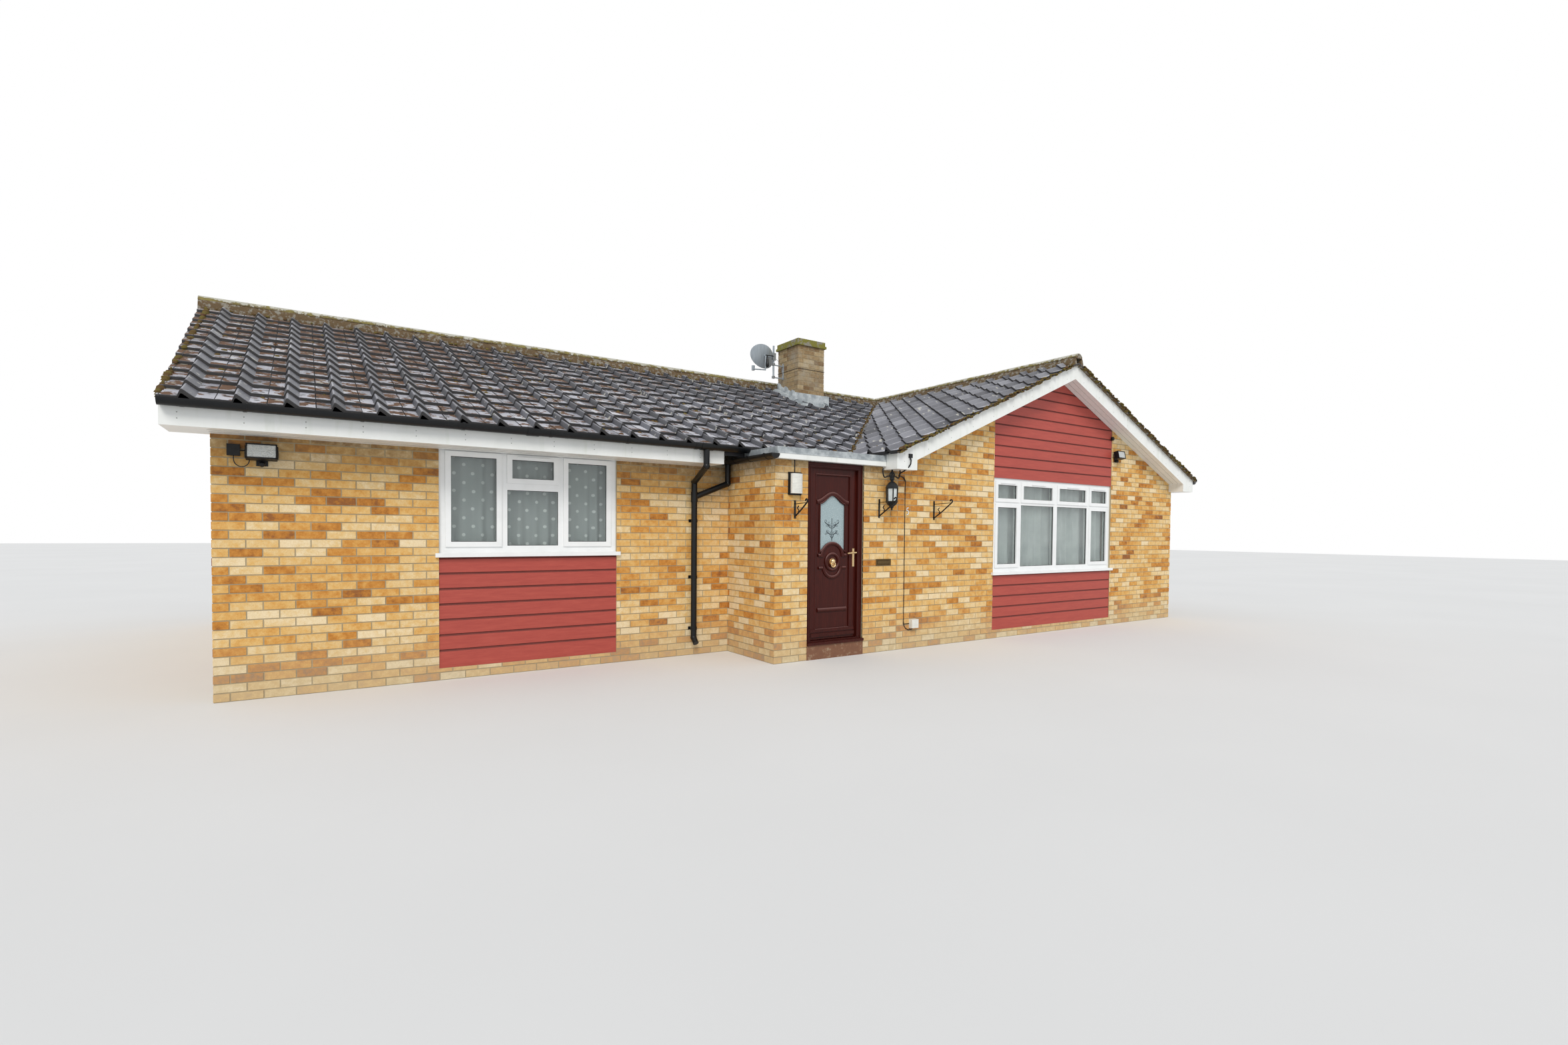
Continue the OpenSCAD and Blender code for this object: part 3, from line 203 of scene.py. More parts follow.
lead_stops = [(0.146, 2.045), (0.146, 2.02), (0.149, 1.995), (0.163, 1.968), (0.19, 1.953), (0.22, 1.957),
              (0.243, 1.978), (0.252, 2.008), (0.262, 2.035), (0.28, 2.049), (0.3, 2.052)]
lead_path = []
for i in range(len(lead_stops) - 1):
    before, a, b, after = (Vector(lead_stops[min(max(i + k, 0), len(lead_stops) - 1)]) for k in (-1, 0, 1, 2))
    for t in (0, 0.5):
        x, z = (a * 2 + (b - before) * t + (before * 2 - a * 5 + b * 4 - after) * t * t
                + (a * 3 - before - b * 3 + after) * t ** 3) / 2
        lead_path.append((x, -0.022 - 0.012 * math.sin(math.pi * (2 * i + 2 * t) / 20), z))
lead_path.append((0.3, -0.022, 2.052))
lead_shape = Shape()
lead_shape.tube(lead_path, 0.0038, 12)
floodlight_lead = piece("floodlight_lead", lead_shape, flex_rubber, soften=60)

# Floor slab and threshold. The floor is concrete, tamped and floated; the step under the front door
# is cast in place and painted with brown floor paint that is worn along its edge.


def dress(name, *materials):
    """Gives a CAD node its materials."""
    data = nodes[name].data
    data.materials.clear()
    for material in materials:
        data.materials.append(material)


floated_concrete = coat("floated_concrete", 400, 8.0, (0.75, 0.95), (0.4, 0.002),
                        [(0, "#7F7B73"), (0.5, "#9B968C"), (1, "#B4AFA4")], grain=0.6)
dress("floor_slab", floated_concrete)

step_paint = coat("worn_floor_paint", 60, 10.0, (0.45, 0.85), (0.5, 0.0015),
                  [(0, "#5E3A2B"), (0.55, "#7C543C"), (0.68, "#A08B72"), (1, "#B3A48C")], grain=0.7)
dress("door_threshold", step_paint)

# Ceiling and inner wall faces. Plasterboard and hard plaster, rolled with matt emulsion, whose
# stipple is a millimetre or two across.
emulsion = coat("rolled_emulsion", 900, 3.0, (0.8, 0.92), (0.3, 0.0006), [(0, "#E4E0D5"), (1, "#F1EEE6")],
                relief=(4, 3.0))
dress("ceiling", emulsion)

# Brickwork. Buff stock bricks of 215 by 65 mm lie in stretcher bond with 10 mm joints of pale lime
# mortar, struck back a few millimetres. Each brick is a little proud of, or behind, its neighbours,
# and was fired a little lighter or darker.
COURSE, JOINT, BRICK_H, BRICK_L, BOND = 0.075, 0.01, 0.065, 0.215, 0.225
ROOTED, SLIVER = 0.012, 0.004
kiln = random.Random(41)

# Wire cut clay: sandy and dull; the ramp is the spread of the firing, from cream to brown
FIRING = ("fired", "damp_and_shade", "washed")
stock_brick, tree, shader, here, fired, damp_and_shade, washed = surface("buff_stock_brick", *FIRING)
mottle = add(tree, "TexNoise", Vector=here, Scale=per(70), Detail=9.0, Roughness=0.68)
grit = add(tree, "TexNoise", Vector=here, Scale=per(7), Detail=5.0, Roughness=0.7)
spread = add(tree, "Math", mottle, 1.1, -0.55, operation="MULTIPLY_ADD")
fire = add(tree, "Math", fired, spread, operation="ADD", use_clamp=True)
clay = add(tree, "ValToRGB", Fac=fire,
           stops=[(0, "#F0DDB8"), (0.2, "#E8CC98"), (0.42, "#E3B974"), (0.6, "#D9A45A"), (0.76, "#CB8C42"),
                  (0.9, "#B57837"), (1, "#966239")])
speck = add(tree, "ValToRGB", Fac=grit,
            stops=[(0, "#8D7350"), (0.38, "#EFE7D8"), (0.62, "#FFFFFF"), (1, "#FFFFFF")])
sanded = add(tree, "MixRGB", Fac=0.75, Color1=clay, Color2=speck, blend_type="MULTIPLY")
# Bricks just under the eaves go towards dark brown: partly damp, partly painted shade from the eaves
damp_and_shade_edge = add(tree, "Math", damp_and_shade, mottle, operation="MULTIPLY", use_clamp=True)
damped_and_shaded = add(tree, "MixRGB", Fac=damp_and_shade_edge, Color1=sanded, Color2="#7D6244")
wash_edge = add(tree, "Math", washed, mottle, operation="MULTIPLY", use_clamp=True)
bleached = add(tree, "MixRGB", Fac=wash_edge, Color1=damped_and_shaded, Color2="#B8AE95")
finish(tree, shader, bleached, grit, (0.78, 0.95), grit, (0.7, 0.002), Specular_IOR_Level=0.25)

# Lime and sand mortar: struck back, grainy and grey beige
lime_mortar, tree, shader, here = surface("struck_lime_mortar")
sand = add(tree, "TexNoise", Vector=here, Scale=per(5), Detail=5.0, Roughness=0.75)
damp = add(tree, "TexNoise", Vector=here, Scale=per(500), Detail=5.0)
finish(tree, shader,
       add(tree, "MixRGB", Fac=0.55,
           Color1=add(tree, "ValToRGB", Fac=sand, stops=[(0, "#7F7056"), (1, "#C0B191")]),
           Color2=add(tree, "ValToRGB", Fac=damp, stops=[(0, "#968768"), (1, "#CBBEA1")])),
       sand, (0.85, 0.98), sand, (0.8, 0.0015))


def cut_out(brick, hole):
    """The upright rectangles that a hole leaves of a brick's face."""
    (a0, b0, a1, b1), (c0, d0, c1, d1) = brick, hole
    if c1 <= a0 or c0 >= a1 or d1 <= b0 or d0 >= b1:
        return [brick]
    low, high = max(b0, d0), min(b1, d1)
    parts = [(a0, b0, a1, d0), (a0, d1, a1, b1), (a0, low, c0, high), (c1, low, a1, high)]
    return [p for p in parts if p[2] - p[0] > SLIVER and p[3] - p[1] > SLIVER]


def trim(face, rake):
    """A brick's face cut along a sloping line, rake being (a, b, c) with a * u + b * z up to c kept."""
    a, b, most = rake
    kept = []
    for p, q in zip(face, face[1:] + face[:1]):
        dp, dq = a * p[0] + b * p[1] - most, a * q[0] + b * q[1] - most
        if dp <= 0:
            kept.append(p)
        if dp * dq < 0:
            t = dp / (dp - dq)
            kept.append((p[0] + t * (q[0] - p[0]), p[1] + t * (q[1] - p[1])))
    return kept


def lay_bricks(shape, foot, along, out, reach, top, start=0.0, holes=(), rakes=(), base=0.0, low=0.0,
               eaves_shade=None, wash=0.45):
    """Lays stretcher bond on a wall's face. foot is its left foot, reach its lowest and highest place
    along the wall, start the first whole brick of an odd course, and eaves_shade the height under which
    the bricks are darkened, partly for damp and partly as painted shade under the eaves."""
    foot, along, out = Vector(foot), Vector(along), Vector(out)
    for course in range(int((low - base) / COURSE), int((top - base) / COURSE) + 1):
        z0 = base + course * COURSE + JOINT / 2
        u = start + (0 if course % 2 else BOND / 2) - BOND * (1 + int((start - reach[0]) / BOND + 1))
        while u < reach[1]:
            parts = [(max(u, reach[0]), max(z0, low), min(u + BRICK_L, reach[1]), min(z0 + BRICK_H, top))]
            for hole in holes:
                parts = [p for part in parts for p in cut_out(part, hole)]
            batch = noise.noise(foot + along * u + Vector((0, 0, z0 * 1.5)))
            hue = min(max(kiln.gauss(0.4 + 0.22 * batch, 0.2), 0.0), 1.0)
            if kiln.random() < 0.09:
                hue = kiln.uniform(0.72, 0.9)
            # Darker towards the eaves: partly damp, partly painted shade under them
            dark = 1.7 * max(0.0, 1 - (eaves_shade - z0) / 0.32) if eaves_shade and z0 < eaves_shade else 0.0
            pale = max(0.0, 1 - z0 / wash) if wash else 0.0
            proud, tip = 0.004 + kiln.uniform(-0.0012, 0.0012), kiln.uniform(-0.0006, 0.0006)
            for a0, b0, a1, b1 in parts:
                if a1 - a0 < SLIVER or b1 - b0 < SLIVER:
                    continue
                face = [(a0, b0), (a1, b0), (a1, b1), (a0, b1)]
                for rake in rakes:
                    face = trim(face, rake)
                if len(face) < 3:
                    continue
                mid = (a0 + a1) / 2
                rows = [[foot + along * p + Vector((0, 0, z)) + out * -ROOTED for p, z in face],
                        [foot + along * p + Vector((0, 0, z)) + out * (proud + tip * (1 if p > mid else -1))
                         for p, z in face]]
                first, n = len(shape.corners), len(face)
                shape.corners.extend(tuple(p) for row in rows for p in row)
                shape.faces.append(tuple(first + n + k for k in range(n)))
                shape.faces.extend((first + k, first + (k + 1) % n, first + n + (k + 1) % n, first + n + k)
                                   for k in range(n))
                shape.marks.extend([(hue, dark, pale)] * (n + 1))
            u += BOND


# The main range's front and depth, the wing's sides, its step forward, and the heights and overhangs
SLOPE = math.tan(math.radians(23.5))
CORNER = 0.004
MAIN_L, MAIN_D, WING_X, WING_END, STEP = 4.84, 6.22, 6.655, 13.215, 1.02
SOFFIT_Z, CANOPY_Z, EAVE_Z, OVERHANG, WING_OVERHANG = 2.212, 2.25, 2.405, 0.42, 0.25
GABLE_TOP = 3.75


def box_line(over, width):
    """Rakes and holes that keep a gable's bricks under its boxed soffit; over is the eaves' overhang."""
    rise = EAVE_Z - 0.203 + SLOPE * over
    far = rise + SLOPE * width
    return ([(-SLOPE, 1, rise), (SLOPE, 1, far)],
            [(-1, SOFFIT_Z, 0.08, 9), (width - 0.08, SOFFIT_Z, width + 1, 9)])


street = Shape()
lay_bricks(street, (0, 0, 0), (1, 0, 0), (0, -1, 0), (-CORNER, MAIN_L - 0.001), SOFFIT_Z,
           holes=[(1.6755, 0.1125, 3.4365, 2.2635)], eaves_shade=SOFFIT_Z)
lay_bricks(street, (MAIN_L, 0, 0), (0, -1, 0), (-1, 0, 0), (0.001, STEP), 2.296, 0.045, eaves_shade=2.3)
lay_bricks(street, (MAIN_L, -STEP, 0), (1, 0, 0), (0, -1, 0), (-CORNER, 0.44), CANOPY_Z, eaves_shade=CANOPY_Z)
lay_bricks(street, (6.105, -STEP, 0), (1, 0, 0), (0, -1, 0), (0, 0.546), CANOPY_Z, 0.1,
           holes=[(0.3, SOFFIT_Z, 1, 3)], eaves_shade=CANOPY_Z)
piece("bricks_street_side", street, stock_brick, fields=FIRING)

gable = Shape()
rakes, boxes = box_line(WING_OVERHANG, WING_END - WING_X)
lay_bricks(gable, (WING_X, -STEP, 0), (1, 0, 0), (0, -1, 0), (0.004, WING_END - WING_X + CORNER), GABLE_TOP,
           holes=boxes + [(1.8055, 0.1125, 4.6845, 9)], rakes=rakes)
piece("bricks_street_gable", gable, stock_brick, fields=FIRING)

sides = Shape()
rakes, boxes = box_line(OVERHANG, MAIN_D)
lay_bricks(sides, (0, MAIN_D, 0), (0, -1, 0), (-1, 0, 0), (0, MAIN_D), GABLE_TOP, 0.0325, holes=boxes,
           rakes=rakes)
lay_bricks(sides, (WING_END, -STEP, 0), (0, 1, 0), (1, 0, 0), (0, MAIN_D + 2 * STEP), SOFFIT_Z, 0.1125,
           eaves_shade=SOFFIT_Z)
piece("bricks_left_and_right", sides, stock_brick, fields=FIRING)

rear = Shape()
lay_bricks(rear, (WING_X, MAIN_D, 0), (-1, 0, 0), (0, 1, 0), (0.001, WING_X + CORNER), SOFFIT_Z,
           holes=[(3.2185, 0.1125, 4.9795, 2.2635)], eaves_shade=SOFFIT_Z)
lay_bricks(rear, (WING_X, MAIN_D + STEP, 0), (0, -1, 0), (-1, 0, 0), (0, STEP - 0.001), SOFFIT_Z, 0.1125,
           eaves_shade=SOFFIT_Z)
rakes, boxes = box_line(WING_OVERHANG, WING_END - WING_X)
lay_bricks(rear, (WING_END, MAIN_D + STEP, 0), (-1, 0, 0), (0, 1, 0), (-CORNER, WING_END - WING_X + CORNER),
           GABLE_TOP, holes=boxes + [(1.8755, 0.1125, 4.7545, 9)], rakes=rakes)
piece("bricks_rear", rear, stock_brick, fields=FIRING)

for wall in ("front_wall_left", "left_gable_wall", "rear_wall", "right_wall", "wing_front_wall",
             "wing_rear_wall", "porch_side_wall", "door_pier_left", "door_pier_right"):
    dress(wall, lime_mortar, emulsion)
    for side in nodes[wall].data.polygons:
        x, y, z = side.center
        in_main = 0.2 < x < 13.0 and 0.2 < y < 6.02
        in_wing = 6.86 < x < 13.0 and -0.81 < y < 7.03
        in_porch = 5.05 < x < 6.9 and -0.81 < y < 0.3
        side.material_index = 1 if in_main or in_wing or in_porch else 0

# Stack. The same bricks, more burnt and washed by the rain, rise through the street slope; a thin black
# strap for the aerial goes round them.
STACK = (7.51, 2.35, 8.05, 2.95)
stack = Shape()
stack_top = 4.617
stack_base = 4.618 - 0.07 - COURSE * 13
for foot, along, out, width, start in (
        ((STACK[0], STACK[1], 0), (1, 0, 0), (0, -1, 0), 0.54, 0.0),
        ((STACK[0], STACK[3], 0), (0, -1, 0), (-1, 0, 0), 0.6, 0.045),
        ((STACK[2], STACK[1], 0), (0, 1, 0), (1, 0, 0), 0.6, 0.1125),
        ((STACK[2], STACK[3], 0), (-1, 0, 0), (0, 1, 0), 0.54, 0.0)):
    lap = CORNER if out[1] else 0
    lay_bricks(stack, foot, along, out, (-lap, width + lap), stack_top, start, base=stack_base, low=3.5,
               eaves_shade=4.62, wash=None)

# Stack brick: as the walls', but browner, with grey algae and pale salts in patches
burnt_brick, tree, shader, here, fired = surface("weathered_stack_brick", "fired")
mottle = add(tree, "TexNoise", Vector=here, Scale=per(60), Detail=8.0, Roughness=0.7)
grit = add(tree, "TexNoise", Vector=here, Scale=per(8), Detail=5.0, Roughness=0.7)
algae = add(tree, "TexNoise", Vector=here, Scale=per(260), Detail=7.0, Roughness=0.65)
fire = add(tree, "MixRGB", Fac=0.62, Color1=fired, Color2=mottle)
clay = add(tree, "ValToRGB", Fac=fire,
           stops=[(0, "#D3C8B0"), (0.35, "#B39D78"), (0.55, "#937A58"), (0.75, "#765C42"), (1, "#4A3C30")])
veil = add(tree, "MapRange", Value=algae, From_Min=0.45, From_Max=0.7, To_Max=0.6)
finish(tree, shader, add(tree, "MixRGB", Fac=veil, Color1=clay, Color2="#A9A69A"), grit, (0.8, 0.96), grit,
       (0.8, 0.002), Specular_IOR_Level=0.25)
piece("stack_bricks", stack, burnt_brick, fields=FIRING)
dress("chimney_stack", lime_mortar)

# Galvanised steel: dull zinc, slightly streaked
zinc = coat("galvanised_strip", 12, 0.0, (0.35, 0.55), (0.1, 0.0004), [(0, "#8E9294"), (1, "#B4B8BA")],
            kind="TexVoronoi", Metallic=0.8)
strap = Shape()
x0, y0, x1, y1 = STACK
strap_z = 4.22
strap.loft([[(x0 - g, y0 - g, strap_z + h), (x1 + g, y0 - g, strap_z + h), (x1 + g, y1 + g, strap_z + h),
             (x0 - g, y1 + g, strap_z + h)]
            for g, h in ((0.006, 0), (0.011, 0.001), (0.011, 0.006), (0.006, 0.007))], caps=False)
piece("aerial_strap", strap, flex_rubber)

# Capping. A cast concrete slab with a thin lip below and a weathered top, grown over with moss.
# Cast concrete: grey, with lichen and yellow green moss in the hollows
mossy_concrete, tree, shader, here = surface("mossy_cast_concrete")
pores = add(tree, "TexNoise", Vector=here, Scale=per(10), Detail=6.0, Roughness=0.7)
growth = add(tree, "TexNoise", Vector=here, Scale=per(120), Detail=8.0, Roughness=0.7)
grey = add(tree, "ValToRGB", Fac=pores, stops=[(0, "#3E3B34"), (0.5, "#8D887A"), (1, "#C4C0B2")])
moss_on = add(tree, "MapRange", Value=growth, From_Min=0.44, From_Max=0.5)
green = add(tree, "ValToRGB", Fac=pores, stops=[(0, "#4C4A1E"), (0.6, "#87823A"), (1, "#ACA755")])
finish(tree, shader, add(tree, "MixRGB", Fac=moss_on, Color1=grey, Color2=green), pores, (0.85, 1.0), growth,
       (0.8, 0.006))
dress("chimney_cap", mossy_concrete)

# Red boards. Shiplap of 148 mm cover is nailed up under the windows and over the gable window, and
# painted deep red; the paint is chalky on its faces, and its grooves are painted darker for their shade.
red_paint, tree, shader, here = surface("chalky_red_paint")
streak_place = add(tree, "Mapping", Vector=here, Scale=(0.35, 1.0, 3.0))
streak = add(tree, "TexNoise", Vector=streak_place, Scale=per(90), Detail=9.0, Roughness=0.65)
brushed = add(tree, "Mapping", Vector=here, Scale=(0.05, 1.0, 1.0))
hairs = add(tree, "TexNoise", Vector=brushed, Scale=per(5), Detail=5.0)
finish(tree, shader,
       add(tree, "MixRGB", Fac=0.3,
           Color1=add(tree, "ValToRGB", Fac=streak,
                      stops=[(0, "#8A332A"), (0.4, "#A8443A"), (0.6, "#B34E42"), (1, "#C56A58")]),
           Color2=add(tree, "ValToRGB", Fac=hairs, stops=[(0, "#93352D"), (1, "#BC584B")])),
       streak, (0.42, 0.7), hairs, (0.35, 0.0008))

# Red paint in the grooves: darker, a painted shade in them
shaded_groove_paint = coat("red_paint_in_groove_shade", 60, 7.0, (0.6, 0.8), (0.2, 0.001),
                    [(0, "#5A2420"), (1, "#7E352C")])
dress("cladding_boards", red_paint, shaded_groove_paint)
for side in nodes["cladding_boards"].data.polygons:
    deep = min(abs(side.center.y - face)
               for face in (0.006, 0.006 - STEP, MAIN_D - 0.006, MAIN_D + STEP - 0.006))
    # Faces off the boards' front planes are the grooves, which take the painted shade
    side.material_index = 1 if deep > 0.001 else 0

# Roof slopes. Concrete tiles with one bold roll lie in fourteen courses on battens and sarking
# boards over the rafters. Each tile laps the one below it and covers 322 mm of its course.
# A tile's cover, its courses and how far the first hangs over; the ridges, gables, eaves and valley
TILE_W, GAUGE, COURSES, HALF_SPAN, TAIL, FIRST_TILE = 0.3225, 0.2557, 14, 3.53, 0.05, -0.2535
RIDGE_Y, RIDGE_X, FRONT_END, REAR_END = 3.11, 9.935, -1.32, 7.54
WING_EAVES, RIGHT_EAVES, VALLEY, LEFT_EDGE = 6.405, 13.465, 6.825, -0.272
# Section of a tile from its left edge: a flat pan, the bold roll and a flat pan
roll = [(0, 0), (0.1, 0), (0.103, 0.008), (0.117, 0.047), (0.121, 0.0535), (0.126, 0.056), (0.132, 0.054),
        (0.15, 0.041), (0.175, 0.0215), (0.198, 0.005), (0.206, 0), (0.315, 0), (0.322, -0.007)]
yard = random.Random(7)

# Extruded concrete tile: grainy, with lichen, moss and dark pits; its pans carry a painted sky sheen, its
# roll's steep side painted shade and its front edge a painted shadow
WEAR = ("batch", "lip", "pan_and_sheen")
tile_concrete, tree, shader, here, batch, lip, pan_and_sheen = surface("weathered_roof_tile", *WEAR)
grain = add(tree, "TexNoise", Vector=here, Scale=per(9), Detail=6.0, Roughness=0.72)
cloud = add(tree, "TexNoise", Vector=here, Scale=per(330), Detail=9.0, Roughness=0.66)
patch = add(tree, "TexNoise", Vector=here, Scale=per(150), Detail=7.0, Roughness=0.62)
pits = add(tree, "TexVoronoi", Vector=here, Scale=per(85))
mixed = add(tree, "MixRGB", Fac=0.4, Color1=batch, Color2=cloud)
# Faces that are not pans, the roll's steep side and the front edges, take a darker colour: painted shade
shaded_side = add(tree, "ValToRGB", Fac=mixed, stops=[(0, "#26272B"), (0.5, "#4C4E55"), (1, "#7E808A")])
# The pans' colour is far lighter than the rest: a painted sheen of the sky on them
sheened_side = add(tree, "ValToRGB", Fac=mixed,
                stops=[(0, "#54545A"), (0.35, "#8C8C95"), (0.55, "#C0C1CA"), (1, "#F4F4F8")])
sheen_and_shade = add(tree, "MixRGB", Fac=pan_and_sheen, Color1=shaded_side, Color2=sheened_side)
sandy = add(tree, "MixRGB", Fac=0.65, Color1=sheen_and_shade,
            Color2=add(tree, "ValToRGB", Fac=grain,
                       stops=[(0, "#5C5A5A"), (0.45, "#E2E1E2"), (1, "#FFFFFF")]),
            blend_type="MULTIPLY")
split = add(tree, "SeparateXYZ", Vector=here)
left_part = add(tree, "MapRange", Value=split.outputs["X"], From_Min=1.0, From_Max=7.0, To_Min=0.1,
                To_Max=0.0)
high_part = add(tree, "MapRange", Value=split.outputs["Z"], From_Min=2.4, From_Max=3.6, To_Min=-0.05,
                To_Max=0.02)
leaning = add(tree, "Math", left_part, high_part, operation="ADD")
grown = add(tree, "Math", patch, leaning, operation="ADD")
thick = add(tree, "MapRange", Value=grown, From_Min=0.556, From_Max=0.58)
in_pan = add(tree, "MapRange", Value=pan_and_sheen, From_Min=0.8, From_Max=0.95)
mossy = add(tree, "Math", thick, in_pan, operation="MULTIPLY")
browned = add(tree, "MixRGB", Fac=mossy, Color1=sandy,
              Color2=add(tree, "ValToRGB", Fac=grain,
                         stops=[(0, "#33261E"), (0.55, "#654935"), (1, "#94714F")]))
lichen_spots = add(tree, "TexVoronoi", Vector=here, Scale=per(75), Randomness=1.0, feature="SMOOTH_F1")
lichen_near = add(tree, "Math", lichen_spots.outputs["Distance"], cloud, operation="SUBTRACT")
lichened = add(tree, "MixRGB",
               Fac=add(tree, "MapRange", Value=lichen_near, From_Min=-0.34, From_Max=-0.42, To_Max=0.75),
               Color1=browned, Color2="#C2C0B4")
# Pits in the pans go near black: painted shade in them
pits_shaded = add(tree, "MixRGB",
             Fac=add(tree, "MapRange", Value=pits.outputs["Distance"], From_Min=0.29, From_Max=0.21,
                     To_Max=in_pan),
             Color1=lichened, Color2="#211E1E")
# Faces marked lip go to near black: a painted shadow under each tile's front edge and in its side joint
finish(tree, shader, add(tree, "MixRGB", Fac=lip, Color1=pits_shaded, Color2="#1B191A"), mossy, (0.36, 0.95),
       add(tree, "MixRGB", Fac=mossy, Color1=grain, Color2=patch), (0.8, 0.004))


# Each slope's own places: a runs along its eaves, s up from them in plan, and h over its deck
def main_front(a, s, h):
    return Vector((a, s - OVERHANG, EAVE_Z + SLOPE * s + h))


def main_rear(a, s, h):
    return Vector((-a, MAIN_D + OVERHANG - s, EAVE_Z + SLOPE * s + h))


def wing_left(a, s, h):
    return Vector((WING_X - WING_OVERHANG + s, -a, EAVE_Z + SLOPE * s + h))


def wing_right(a, s, h):
    return Vector((WING_END + WING_OVERHANG - s, a, EAVE_Z + SLOPE * s + h))


def tile_slope(name, node, place, a0, a1, edge, planes, rafters):
    """Boards, rafters and tiles of one slope. place puts a point on it, a0 to a1 is its reach along
    the eaves, edge one tile's left edge, planes what trims it and rafters the blocks under its deck."""
    shape = Shape()
    # The boards under the tiles are marked partly lip, so they take some of the painted shadow colour
    for b0, b1, s0, s1, low, high in rafters:
        shape.loft([[place(a, s, h) for a, h in ((b0, low), (b1, low), (b1, high), (b0, high))]
                    for s in (s0, s1)], mark=(0.1, 0.6, 0.0))
    first = edge - TILE_W * math.ceil((edge - a0) / TILE_W)
    for row in range(COURSES):
        s0 = GAUGE * row - TAIL
        s1 = min(s0 + GAUGE + 0.02, HALF_SPAN)
        a = first
        while a < a1:
            lift, skew = yard.uniform(-0.0015, 0.002), yard.uniform(-0.002, 0.002)
            shift = yard.uniform(-0.001, 0.001)
            tint = min(max(yard.gauss(0.48, 0.2), 0), 1)
            lines = []
            for s, base in ((s0 + 0.002, 0.01), (s0, 0.043), (s0 + 0.003, 0.046), (s1, 0.016)):
                lines.append([place(a + shift + x, s, base + lift + skew * x / TILE_W + h) for x, h in roll])
            # The front edge is marked lip, a painted shadow, and its narrow bevel partly; the top is marked
            # as pan, for the painted sky sheen
            for pair, mark in ((lines[:2], (tint, 1.0, 0.0)), (lines[1:3], (tint, 0.3, 0.0)),
                               (lines[2:], (tint, 0.0, 1.0))):
                shape.loft(pair, around=False, caps=False, mark=mark)
            # Over the roll the painted sheen is graded facet by facet: none on its steep left side, which
            # keeps the painted shade, most on its crest, a little down its right side
            for k, value in enumerate((0.0, 0.0, 0.3, 0.6, 0.6, 0.2, 0.2, 0.2, 0.2)):
                shape.marks[k + 2 - len(roll)] = (tint, 0.0, value)
            # The drop at the tile's right edge is marked mostly lip: painted shadow in the side joint
            shape.marks[-1] = (tint, 0.7, 0.0)
            a += TILE_W
    slope = piece(name, shape, tile_concrete, fields=WEAR)
    work = bmesh.new()
    work.from_mesh(slope.data)
    for point, away in planes:
        bmesh.ops.bisect_plane(work, geom=work.verts[:] + work.edges[:] + work.faces[:], dist=1e-5,
                               plane_co=point, plane_no=away, clear_outer=True)
    for side in work.faces:
        if side.normal.z < -0.3 and side[work.faces.layers.float["lip"]] == 0.0:
            side.normal_flip()
    work.to_mesh(slope.data)
    work.free()
    slope.data.shade_smooth()
    slope.data.set_sharp_from_angle(angle=math.radians(38))
    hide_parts(node)


# The valley's direction, how far the tiles keep from it, and the reach and heights of deck and sarking
DIAG, KEEP, VERGE, PAST_RIDGE = Vector((1, -1, 0)), 0.042, 0.315, 9.9
FROM_WALL, FROM_EAVES, DECK, UNDER = (0.022, HALF_SPAN), (-0.045, HALF_SPAN), (-0.1, 0.0), (0.0003, 0.012)
front_gable, rear_gable = ((0, FRONT_END, 0), (0, -1, 0)), ((0, REAR_END, 0), (0, 1, 0))
tile_slope("tiles_main_front", "roof_main_front", main_front, -VERGE - 0.06, PAST_RIDGE, FIRST_TILE,
           [((LEFT_EDGE, -0.47, 0), (-1, -0.024, 0)), ((VALLEY - KEEP, 0, 0), DIAG)],
           [(-0.243, PAST_RIDGE, 0.45, HALF_SPAN, *DECK), (-0.243, 4.82, 0.022, 0.45, *DECK),
            (-VERGE, PAST_RIDGE, *FROM_EAVES, *UNDER)])
tile_slope("tiles_main_rear", "roof_main_rear", main_rear, -PAST_RIDGE, VERGE + 0.06, VERGE - TILE_W,
           [((LEFT_EDGE, 6.69, 0), (-1, 0.024, 0)), ((VALLEY - KEEP, MAIN_D, 0), (1, 1, 0))],
           [(-PAST_RIDGE, 0.243, *FROM_WALL, *DECK), (-PAST_RIDGE, VERGE, *FROM_EAVES, *UNDER)])
tile_slope("tiles_wing_front_left", "roof_wing_front_left", wing_left, -RIDGE_Y, -FRONT_END,
           -FRONT_END - TILE_W,
           [front_gable, ((VALLEY + KEEP, 0, 0), -DIAG), ((0, RIDGE_Y, 0), (0, 1, 0))],
           [(-RIDGE_Y, 1.248, *FROM_WALL, *DECK), (-RIDGE_Y, -FRONT_END, *FROM_EAVES, *UNDER)])
tile_slope("tiles_wing_rear_left", "roof_wing_rear_left", wing_left, -REAR_END, -RIDGE_Y, -REAR_END,
           [rear_gable, ((VALLEY + KEEP, MAIN_D, 0), (-1, -1, 0)), ((0, RIDGE_Y, 0), (0, -1, 0))],
           [(-7.468, -RIDGE_Y, *FROM_WALL, *DECK), (-REAR_END, -RIDGE_Y, *FROM_EAVES, *UNDER)])
tile_slope("tiles_wing_right", "roof_wing_right", wing_right, FRONT_END, REAR_END, FRONT_END,
           [front_gable, rear_gable],
           [(-1.248, 7.468, *FROM_WALL, *DECK), (FRONT_END, REAR_END, *FROM_EAVES, *UNDER)])

